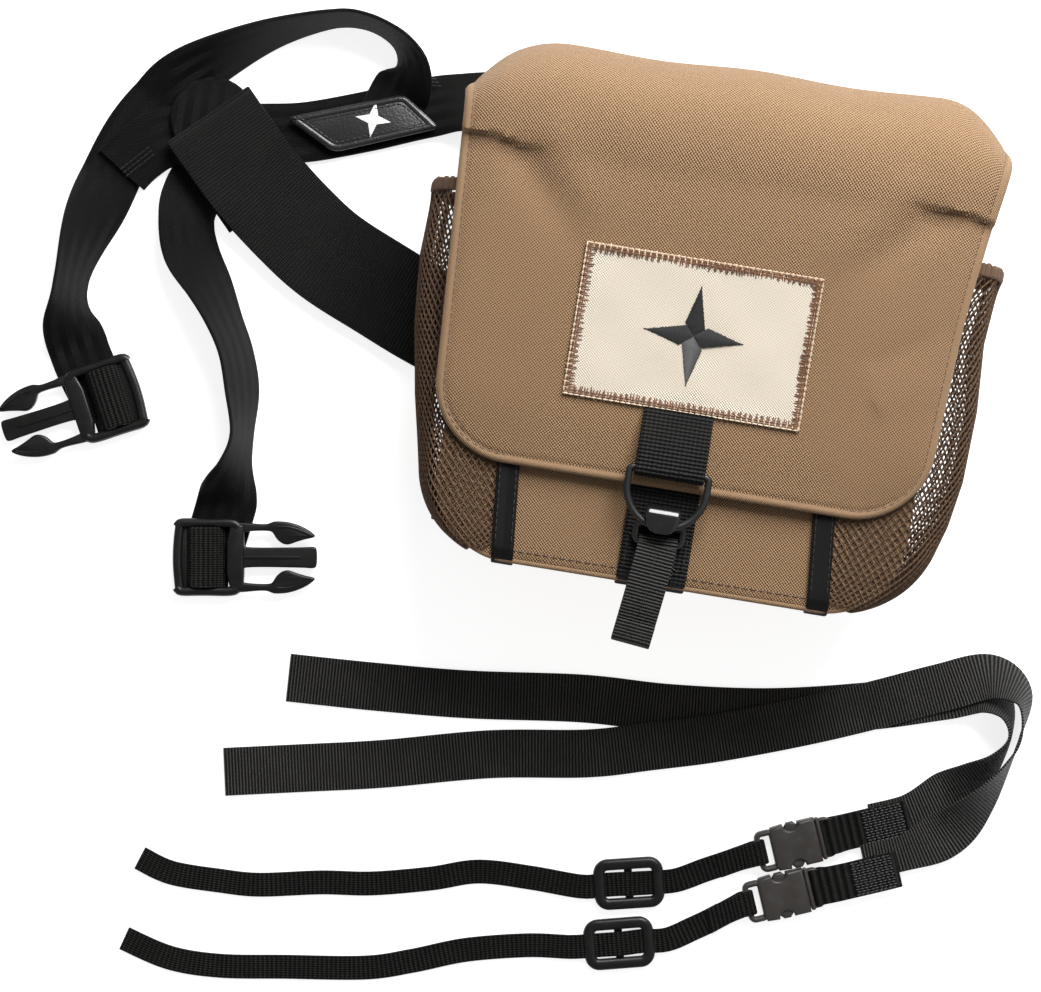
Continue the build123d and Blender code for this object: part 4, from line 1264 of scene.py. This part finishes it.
def make_side_loop():
    points = [(18.5, 90.8), (21, 91.6), (27, 98.5), (36, 102.6), (46, 102.6), (56, 98.5), (61.5, 91.6),
              (63.5, 90.8)]
    build = Build()
    rows = [(Vector((x, 57.5, z)), Y_AXIS, 22.5) for z, x in smooth(points, 1.5)]
    band_shell(build, rows, 1.5, 20)
    loop = build.make("side_loop", "pack", [SMOOTH_WEB], ["side_loop_right"])


# ---- ring and hook closure ----
def make_closure():
    bar_y, bar_z = RING_BAR
    reach = 2.45
    loop = [(bar_y + reach * math.cos(math.radians(a)), bar_z + reach * math.sin(math.radians(a)))
            for a in range(90, 271, 30)]
    points = [(-32.0, FLAP_FACE + 1.9), (-35, FLAP_FACE + 2.7), (-41, FLAP_FACE + 4.4), (-48, bar_z + reach)]
    points += loop + [(-48, FLAP_FACE + 0.85), (-40, FLAP_FACE + 0.8), (-33.4, FLAP_FACE + 0.8)]
    build = Build()
    band_shell(build, profile_rows(points, CLOSURE_X, CLOSURE_WIDTH), 1.4, 24)
    web = build.make("flap_webbing_loop", "flap_front", [BODY_WEB], ["flap_webbing"])
    make_hook()
    make_pull_tab()


def make_hook():
    """A flat slotted plate for the webbing, curling over into a wide tongue."""
    bar_y, bar_z = HOOK_BAR
    build = Build()
    frame = rounded(CLOSURE_X - 9.0, CLOSURE_X + 9.0, bar_y - 0.1, bar_y + 7.4, 2.4)
    rim(build, frame, 2.5, 2.4, bar_z, power=0.75)
    slab(build, rounded(CLOSURE_X - 8.4, CLOSURE_X + 8.4, bar_y + 5.6, bar_y + 8.6, 1.0), 89.3, 91.3, 0.6)
    centre_y, centre_z = -72.3, 94.2
    radius = 3.4
    rows = []
    path = [(-76.5, centre_z - radius), (-74.4, centre_z - radius)]
    path += [(centre_y + radius * math.cos(math.radians(a)), centre_z + radius * math.sin(math.radians(a)))
             for a in range(-90, 91, 15)]
    path += [(-74.4, centre_z + radius), (-76.4, centre_z + radius - 0.02), (-77.6, centre_z + radius - 0.1),
             (-78.4, centre_z + radius - 0.3)]
    widths = [13.0] * (len(path) - 4) + [12.2, 10.6, 8.6, 5.4]
    for (y, z), width in zip(path, widths):
        rows.append((Vector((CLOSURE_X, y, z)), X_AXIS, width))
    band_shell(build, rows, 1.8, 14)
    build.make("closure_hook", "hook", [HOOK_PLASTIC], ["hook"], 50)


def make_pull_tab():
    bar_y, bar_z = HOOK_BAR
    fold = bar_z + 1.85
    build = Build()
    points = [(-95, FRONT + 2.2), (-90, FRONT + 2.25), (bar_y - 2.2, FRONT + 2.3)]
    points += [(bar_y + 2.3 * math.cos(math.radians(a)), bar_z + 2.3 * math.sin(math.radians(a)))
               for a in range(-70, 91, 32)]
    points += [(bar_y - 3, fold + 0.4), (bar_y - 6, fold + 0.35)]
    band_shell(build, profile_rows(points, CLOSURE_X, 15), 0.9, 16)
    anchor = build.make("hook_webbing", "pack", [GROSGRAIN], ["hook_anchor"])
    build = Build()
    turn = Matrix.Translation((CLOSURE_X, bar_y, 0)) @ Matrix.Rotation(math.radians(-6), 4, "Z")
    low = fold + 1.3
    path = [(-1.0, low + 0.3), (-5, low + 1.2), (-10, low + 1.6), (-17, low + 1.1), (-25, low - 1.0),
            (-32, low - 3.6), (-38.5, low - 5.6), (-39.3, low - 5.0), (-38.3, low - 4.2), (-33, low - 2.4),
            (-31.2, low - 1.9)]
    rows = []
    for y, z in smooth(path, 1.0):
        rows.append((turn @ Vector((0, y, z)), turn.to_3x3() @ X_AXIS, 15.0))
    band_shell(build, rows, 1.0, 16)
    tab = build.make("tab_ribbon", "pull_tab", [GROSGRAIN], ["pull_tab"])
    line = [turn @ Vector((0.3, -y, low + 1.9 - max(y - 14, 0) ** 1.25 * 0.105)) for y in range(4, 31)]
    sew("tab_stitches", "pull_tab", BLACK_THREAD, [line], 2.4, 1.9, 0.2)


# ---- harness ----
def route(*stations):
    """(x, y, lowest z, tilt) stations; a tilt of 0, or a tilt of 0 and a z of 0.3, may be left out."""
    return [station + (0.3, 0)[len(station) - 2:] for station in stations]


STRAP_A = route(
    (-137, 74, 3.8), (-134, 83, 3.8), (-131.5, 90.5, 3.5, -30), (-132, 97.5, 1.4, -62),
    (-138.5, 105, 0.3, -80), (-151, 109.5, 0.3, -86), (-165, 108.5, 0.3, -86), (-187, 99.5, 0.3, -74),
    (-208, 86.5, 0.3, -54), (-223, 75, 0.3, -30), (-233, 63.5), (-241, 49.5), (-247, 32),
    (-250, 17, 0.3, -25), (-253, 0, 0.3, -54), (-254.5, -14, 0.3, -67), (-254, -25, 0.3, -60),
    (-252, -34, 0.3, -26), (-248.5, -43), (-241.5, -54), (-235.5, -61),
)
YOKE = route(
    (-78, 86, 7.1), (-94, 86, 6.6), (-108, 84, 3.6, 12), (-122, 80, 1.8), (-147, 70, 1.7),
    (-170, 62, 1.7), (-190, 58, 2.4), (-203, 55, 3.4), (-217, 53, 3.6), (-229, 49, 3.4),
    (-238, 41, 2.6), (-243, 34, 2.4),
)
SIDE_STRAP = route(
    (-204, 54), (-208, 42), (-212, 30, 0.3, -10), (-212.5, 18, 0.3, -32), (-208.5, 5, 0.3, -30),
    (-198.5, -8, 0.3, -46), (-190.5, -20, 0.3, -58), (-183, -33, 0.3, -62), (-178, -48, 0.3, -64),
    (-175, -66, 0.3, -76), (-175.5, -79, 0.3, -64), (-176.5, -88, 0.3, -34), (-178, -97, 0.3, -2),
    (-180, -112), (-182, -124),
)
WIDE_STRAP = route(
    (-187, 38, 9.4), (-168, 23, 7.0), (-151, 12, 5.6, 4), (-128, 2, 5.0, 8), (-108, -6, 5.4, 4),
    (-92, -11, 6.9), (-62, -18, 7.3),
)


def webbing(name, body, stations, size, material, nodes, wave, columns=14, end_width=0):
    """A strap lying along its stations. With end_width it narrows to that over its last 30 mm."""
    build = Build()
    width, thickness = size
    rows = laid_rows(stations, width, thickness, wave)
    if end_width:
        end = rows[-1][0]
        rows = [(centre, across, width - (width - end_width) * ease((34 - (centre - end).length) / 20))
                for centre, across, _ in rows]
    band_shell(build, rows, thickness, columns)
    piece = build.make(name, body, [material], nodes)
    return piece


def make_harness():
    ends = (("a", "shoulder_webbing_a", STRAP_A, "shoulder_strap_a", 0.31),
            ("b", "side_webbing_b", SIDE_STRAP, "side_strap_b", 0.205))
    for letter, name, stations, node, length in ends:
        strap = webbing(name, None, stations, STRAP, SMOOTH_WEB, [node], (0.25, 47, 1.0))
        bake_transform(strap)
    webbing("yoke_webbing", "pack", YOKE, STRAP, SMOOTH_WEB, ["yoke_strap"], (0.2, 50, 2.0))
    make_wide_strap()
    make_keeper()
    make_cross_patch()
    make_seams()


def make_wide_strap():
    """The wide ribbed strap: folded over a rolled edge at its far end and run back on itself."""
    build = Build()
    fold_across = Vector((0.72, 0.69, 0)).normalized()
    fold_out = Vector((-0.69, 0.72, 0))
    crest = Vector((-203, 54, 9.3))
    under = [crest - fold_out * 34 + Vector((0, 0, -3.6)), crest - fold_out * 18 + Vector((0, 0, -3.0)),
             crest + fold_out * 6 + Vector((0, 0, -2.6))]
    roll = [crest + fold_out * (8 + 2.3 * math.cos(a)) + Vector((0, 0, 2.3 * math.sin(a)))
            for a in [math.radians(degrees) for degrees in (-70, -35, 0, 35, 70)]]
    over = [crest + fold_out * 5 + Vector((0, 0, 2.4)), crest - fold_out * 4 + Vector((0, 0, 2.2))]
    stations = [tuple(p) + (0.0, 0.0) for p in under + roll + over]
    for x, y, low, tilt in WIDE_STRAP:
        stations.append((x, y, low + 1.2 + 20.5 * abs(math.sin(math.radians(tilt))), tilt, 1.0))
    path = curve_through(stations, 1.6)
    rows = []
    for i, (x, y, z, tilt, free) in enumerate(path):
        across = (fold_across * (1 - free) + left_of(path, i) * free).normalized()
        lean = math.radians(tilt)
        rows.append((Vector((x, y, z)), across * math.cos(lean) + Z_AXIS * math.sin(lean), 41.0))
    band_shell(build, rows, 1.7, 20)
    strap = build.make("wide_webbing", "pack", [WIDE_WEB], ["shoulder_strap_b"])


def make_keeper():
    """The soft rounded end behind the fold."""
    build = Build()
    columns, rows = 32, 9
    points = []
    for i in range(rows):
        lift = math.radians(-90 + 180 * i / (rows - 1))
        for j in range(columns):
            turn = TAU * j / columns
            radius = 15.6 + 2.0 * math.cos(lift)
            points.append((-208.5 + radius * math.cos(turn), 60.5 + radius * math.sin(turn),
                           6.6 + 2.2 * math.sin(lift)))
    faces = grid_faces(rows, columns, True)
    faces.append(tuple(reversed(range(columns))))
    faces.append(tuple(range((rows - 1) * columns, rows * columns)))
    build.shell(points, faces)
    build.make("keeper_pad", "pack", [SMOOTH_WEB], ["strap_keeper"], 70)


def make_cross_patch():
    """Two layers of vinyl with turned edges, sewn round where the straps cross."""
    corners = [(-179, 66), (-157, 55), (-115, 72), (-132, 83.5)]
    outline = []
    for i, (x, y) in enumerate(corners):
        ax, ay = corners[i - 1]
        bx, by = corners[(i + 1) % 4]
        back = Vector((ax - x, ay - y)).normalized() * 3.5
        on = Vector((bx - x, by - y)).normalized() * 3.5
        for k in range(6):
            one, two = (1 - k / 5) ** 2, (k / 5) ** 2
            outline.append((x + back.x * one + on.x * two, y + back.y * one + on.y * two))
    dense = []
    for (ax, ay), (bx, by) in zip(outline, outline[1:] + outline[:1]):
        count = max(1, int(math.hypot(bx - ax, by - ay) / 2))
        dense += [(ax + (bx - ax) * k / count, ay + (by - ay) * k / count) for k in range(count)]
    for name, low, high in (("lower", 0.3, 1.4), ("upper", 6.1, 7.3)):
        build = Build()
        slab(build, dense, low, high, 0.5)
        rim(build, inset_outline(dense, 1.6), 2.6, 1.5, (low + high) / 2 + 0.25, power=0.9)
        build.make("vinyl_%s" % name, "pack", [VINYL], ["cross_patch_%s" % name], 50)
    line = [Vector((x, y, 7.4)) for x, y in inset_outline(dense, 3.6)]
    sew("vinyl_stitches", "pack", BLACK_THREAD, [line + line[:1]], 2.4, 1.8, 0.2)
    build = Build()
    star = []
    for i in range(8):
        radius = 7.5 if i % 2 == 0 else 2.6
        turn = math.radians(45 * i + 90)
        star.append((-143 + radius * math.cos(turn), 71 + radius * math.sin(turn)))
    slab(build, star, 7.2, 7.6, 0.12)
    build.make("vinyl_star", "pack", [MARK], ["cross_patch_mark"])


def make_seams():
    """Bar tacks where straps are sewn to each other."""
    tacks = [((-243, 34), (-232, 46), 6.2), ((-205, 52), (-216, 28), 3.0), ((-120, 92), (-141, 90), 6.0)]
    lines = [[Vector((ax + (bx - ax) * k / 8 + shift, ay + (by - ay) * k / 8 - shift, z)) for k in range(9)]
             for (ax, ay), (bx, by), z in tacks for shift in (0.0, 1.3, 2.6)]
    sew("strap_tacks", "pack", BLACK_THREAD, lines, 2.2, 1.8, 0.22)


# ---- side-release buckles ----
def mirrored(outline):
    """The outline reflected in the X axis, still counter-clockwise."""
    return [(x, -y) for x, y in reversed(outline)]


def soften(outline, steps=3):
    """A closed outline with its corners rounded by cutting them repeatedly."""
    for _ in range(steps):
        cut = []
        for i, (x, y) in enumerate(outline):
            nx, ny = outline[(i + 1) % len(outline)]
            cut.append((0.75 * x + 0.25 * nx, 0.75 * y + 0.25 * ny))
            cut.append((0.25 * x + 0.75 * nx, 0.25 * y + 0.75 * ny))
        outline = cut
    return outline


RAIL = [(1.8, 12.6), (2.8, 13.9), (5, 14.2), (10, 14.1), (16, 14.1), (22, 14.2), (25.5, 13.8), (27, 12.6)]
ARM = [(26, 9.5), (30, 10.6), (35, 11.0), (40, 11.0), (41.5, 10.4), (43, 7.6), (45.5, 5.6), (48, 5.2),
       (50.5, 6.2), (55, 7.6), (59, 8.3), (58.6, 9.8), (54, 12.8), (48, 14.8), (42.5, 15.1), (41, 14.6),
       (39, 13.8), (35, 13.9), (30, 14.4), (26, 14.6)]
TONGUE = [(26, -7), (28.5, -4.8), (32, -4), (54, -4.2), (58.5, -4.6), (59.8, -3.6), (59.8, 3.6),
          (58.5, 4.6), (54, 4.2), (32, 4), (28.5, 4.8), (26, 7)]


def make_male_buckle(letter):
    x, y, heading, _ = BUCKLES[letter]
    place = place_at(x, y, BUCKLE_LIFT, heading)
    build = Build(place)
    middle = 2.5
    end_bar = [(2.9 - 1.0 * math.cos(math.pi * k / 16 - math.pi / 2), 13.6 * (k / 8 - 1)) for k in range(17)]
    rim(build, end_bar, 3.8, 4.4, middle, closed=False)
    slab(build, rounded(3.0, 6.9, -13.2, 13.2, 0.8), 0.6, 2.6, 0.5)
    for side in (-1, 1):
        rail = smooth([(a, side * b) for a, b in RAIL], 1.0)
        rim(build, rail, 4.0, 5.4, middle, closed=False, power=0.75)
    rim(build, [(13.25, -13.5), (13.25, 0), (13.25, 13.5)], 3.0, 3.0, middle, closed=False, power=1)
    bridge = [(22.4, -13.6), (29.0, -13.6), (29.6, -12.6), (29.6, 12.6), (29.0, 13.6), (22.4, 13.6)]
    slab(build, soften(bridge, 1), 0.3, 4.7, 0.9)
    arm = soften(ARM, 2)
    slab(build, arm, 0.6, 4.4, 0.8)
    slab(build, mirrored(arm), 0.6, 4.4, 0.8)
    slab(build, soften(TONGUE, 2), 1.0, 3.9, 0.7)
    ridge = soften([(28, -0.8), (52, -0.7), (54, 0), (52, 0.7), (28, 0.8)], 2)
    slab(build, ridge, 3.7, 4.4, 0.3)
    for side in (-1, 1):
        rib = smooth([(43.5, side * 12.6), (48, side * 12.6), (53, side * 11.2), (57, side * 9.4)], 1.0)
        rim(build, rib, 1.2, 0.8, 4.35, closed=False, power=1)
    build.make("prong_buckle_%s" % letter, "buckle_%s" % letter, [BUCKLE_PLASTIC],
               ["male_buckle_%s" % letter], 45)
    make_hump(letter, place)


def make_hump(letter, place):
    """Webbing drawn up over the buckle's middle bar and down again on both sides."""
    points = [(3.6, -0.4), (5.2, 0.2), (6.6, 2.4), (8.2, 4.9), (10.6, 6.2), (13.25, 6.6), (15.9, 6.2),
              (18.3, 4.9), (19.9, 2.4), (21.2, 0.2), (22.6, -0.4)]
    rows = []
    for a, z in smooth(points, 0.8):
        rows.append((place @ Vector((a, 0, z)), place.to_3x3() @ Y_AXIS, 25.0))
    build = Build()
    band_shell(build, rows, 1.6, 20)
    hump = build.make("webbing_hump_%s" % letter, "buckle_%s" % letter, [COARSE_WEB],
                      ["buckle_loop_%s" % letter])


def make_female_side():
    """The webbing that holds the socket halves of the buckles at the pack's lower sides."""
    for side, name in ((-1, "left"), (1, "right")):
        build = Build()
        points = [(84.0, 4.2), (87, 4.5), (90.5, 5.0), (92.2, 7.0), (91.4, 9.6)]
        rows = [(Vector((side * x, -76, z)), Vector((0, side, 0)), 24.5) for x, z in smooth(points, 1.0)]
        band_shell(build, rows, 1.5, 20)
        tab = build.make("socket_webbing_%s" % name, None, [COARSE_WEB],
                         ["female_tab_%s" % name])
        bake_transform(tab)


# ---- tethers ----
RIBBON_1 = route(
    (-141, -163), (-105, -161), (-67, -158), (-19, -152), (18, -150), (59, -145), (99, -136),
    (128, -127, 0.3, -6), (143.5, -122, 0.3, -28), (154, -127, 0.3, -58), (157.5, -138, 0.3, -76),
    (153.5, -149, 0.3, -62), (146, -159, 0.3, -30), (136, -168), (122, -177), (108, -183),
)
RIBBON_2 = route(
    (-161, -206), (-128, -199), (-96, -192), (-53, -181, 0.5), (-13, -174, 1.7), (12, -167, 1.8),
    (39, -159, 1.8), (72, -147, 1.8), (99, -136, 1.8), (127, -123.5, 2.2, -6),
    (146.5, -115.2, 3.8, -28), (160, -121, 2.6, -58), (161.8, -137, 0.8, -78), (158, -151, 0.8, -70),
    (150.5, -167, 1.8, -44), (139.5, -182, 3.5, -6), (124, -193, 3.5), (107, -200, 3.5),
)
TAIL_1 = route(
    (54, -208.3, 1.1), (48, -211.4, 1.1), (42, -214.5, 1.4), (32, -220, 1.8), (23, -222.4, 2.0),
    (16, -223.8, 2.9), (12.5, -224.5, 3.4), (9, -225.2, 2.9), (2, -226.9, 2.0), (-7, -229, 1.8),
    (-28, -229, 0.4), (-50, -230), (-69, -236), (-93, -242), (-114, -245), (-139, -250), (-155, -251),
    (-176, -251), (-190, -247),
)
TAIL_2 = route(
    (53, -231, 1.1), (47.4, -235.2, 1.1), (42, -238.8, 1.4), (32, -245, 1.8), (22, -247.2, 2.0),
    (16, -248.8, 2.9), (12.5, -249.7, 3.4), (9, -250.6, 2.9), (2, -252.4, 2.0), (-7, -254.5, 1.8),
    (-25, -257, 0.4), (-50, -263), (-71, -271), (-90, -277), (-123, -282), (-150, -286), (-171, -286),
    (-191, -281),
)
SLIDER_CENTRES = ((12.5, -224.5, 13.0), (12.5, -249.75, 13.69))


def folded_tape(build, place, bar_at, tail_at, tail_z, width, thickness, opens, bend=0.0):
    """Webbing doubled round a small buckle's bar; bend is its side slope."""
    reach = 1.7 + thickness / 2
    points = [(tail_at, tail_z + 0.55 * thickness), (bar_at + opens * 9, tail_z + 0.6 * thickness),
              (bar_at + opens * 3, 3.0 - reach)]
    points += [(bar_at + opens * reach * math.sin(math.radians(a)), 3.0 - reach * math.cos(math.radians(a)))
               for a in (-30, -90, -150)]
    points += [(bar_at + opens * 3, 3.0 + reach), (bar_at + opens * 9, tail_z + 1.75 * thickness),
               (tail_at - opens * 0.4, tail_z + 1.7 * thickness)]
    rows = []
    for a, z in smooth(points, 0.8):
        aside = -bend * max(0.0, abs(a - bar_at) - 3)
        rows.append((place @ Vector((a, aside, z)), place.to_3x3() @ Y_AXIS, width))
    band_shell(build, rows, thickness, 16)


def make_small_buckle(number):
    x, y = SMALL_ORIGINS[number - 1]
    place = place_at(x, y, SMALL_LIFT, SMALL_HEADING)
    female = Build(place)
    rim(female, rounded(1.2, 7.6, -7.4, 7.4, 1.8), 2.5, 4.4, 3.0, power=0.75)
    notch = [(15.8 + 3.2 * math.cos(math.radians(t)), 9.4 - 3.0 * math.sin(math.radians(t)))
             for t in range(180, -1, -20)]
    edge = [(6.4, 7.2), (7.4, 9.0)] + notch + [(20.0, 9.3), (26.0, 9.3)]
    body = [(x0, -y0) for x0, y0 in edge] + [(x0, y0) for x0, y0 in reversed(edge)]
    slab(female, body, 0.1, 5.9, 1.2)
    female.make("socket_small_%d" % number, "quick_%d" % number, [SMALL_PLASTIC],
                ["small_female_%d" % number], 45)
    male = Build(place)
    slab(male, rounded(26.3, 28.0, -8.8, 8.8, 0.6), 0.4, 5.2, 0.6)
    rim(male, rounded(26.6, 31.4, -7.4, 7.4, 1.6), 2.2, 3.2, 3.0, power=0.75)
    button = [(12.8, 5.2), (18.8, 5.2), (18.4, 8.2), (17.2, 9.6), (14.4, 9.6), (13.2, 8.2)]
    for outline in (mirrored(button), button):
        slab(male, outline, 1.2, 4.8, 0.8)
    slab(male, rounded(12, 27.6, -6, 6, 1.0), 1.7, 4.3, 0.3)
    male.make("prongs_small_%d" % number, "tether_%d" % number, [SMALL_PLASTIC],
              ["small_male_%d" % number], 45)


def make_tether(number, ribbon, tail, tape_z, slope):
    """A ribbon, its small buckle and the narrow webbing beyond it. tape_z is the height of the ribbed tape
    and slope the side slope of the webbing's end."""
    body = "tether_%d" % number
    quick = "quick_%d" % number
    webbing("ribbon_%d" % number, body, ribbon, RIBBON, GROSGRAIN, ["tether_ribbon_%d" % number],
            (0.35, 88, 1.7 * number), 16, 14.4)
    x, y = SMALL_ORIGINS[number - 1]
    place = place_at(x, y, SMALL_LIFT, SMALL_HEADING)
    build = Build()
    folded_tape(build, place, 30.2, 65.0, tape_z, 15.0, 0.95, 1)
    loop = build.make("ribbed_tape_%d" % number, body, [TAPE_RIBS],
                      ["ribbed_loop_%d" % number])
    build = Build()
    folded_tape(build, place, 1.3, -17.0, 0.4, 10.0, 1.1, -1, slope)
    loop = build.make("narrow_loop_%d" % number, quick, [COARSE_WEB],
                      ["connector_loop_%d" % number])
    webbing("narrow_web_%d" % number, quick, tail, NARROW, COARSE_WEB, ["connector_web_%d" % number],
            (0.25, 70, 2.1 * number), 12)
    make_small_buckle(number)
    make_slider(number)
    lines = [[place @ Vector((45.5 + 0.5 * (row % 2) + k, 1.08 * row, tape_z + 2.3)) for k in range(19)]
             for row in range(-6, 7)]
    sew("tape_stitches_%d" % number, body, BLACK_THREAD, lines, 1.9, 1.5, 0.34)


def make_slider(number):
    """A three-bar slide: a thick rounded frame and a low middle bar under the webbing."""
    x, y, heading = SLIDER_CENTRES[number - 1]
    build = Build(place_at(x, y, 0.3, heading))
    rim(build, rounded(-12.2, 12.2, -8.2, 8.2, 3.6, 8), 4.8, 3.9, 2.2, power=0.7)
    rim(build, [(0, -8), (0, 0), (0, 8)], 3.4, 1.4, 0.75, closed=False, power=0.8)
    build.make("slide_%d" % number, "slider_%d" % number, [BUCKLE_PLASTIC],
               ["slider_%d" % number], 50)


def dress_cad_nodes():
    """Hard parts whose CAD shape is right keep it and get a finished material."""
    finishes = {"d_ring": RING_PLASTIC, "female_buckle_left": BUCKLE_PLASTIC,
                "female_buckle_right": BUCKLE_PLASTIC}
    for name, material in finishes.items():
        node = frame["nodes"][name]
        for spot in node.material_slots:
            spot.material = material


make_camera()
make_stage()
make_flap()
make_patch()
make_walls()
make_piping()
make_mouth_binding()
make_back_pad()
make_pocket(-1, "left")
make_pocket(1, "right")
make_pocket_tapes()
make_lower_webbing()
make_side_loop()
make_closure()
make_harness()
for buckle in BUCKLES:
    make_male_buckle(buckle)
make_female_side()
make_tether(1, RIBBON_1, TAIL_1, 1.15, 0.11)
make_tether(2, RIBBON_2, TAIL_2, 4.35, 0.27)
dress_cad_nodes()
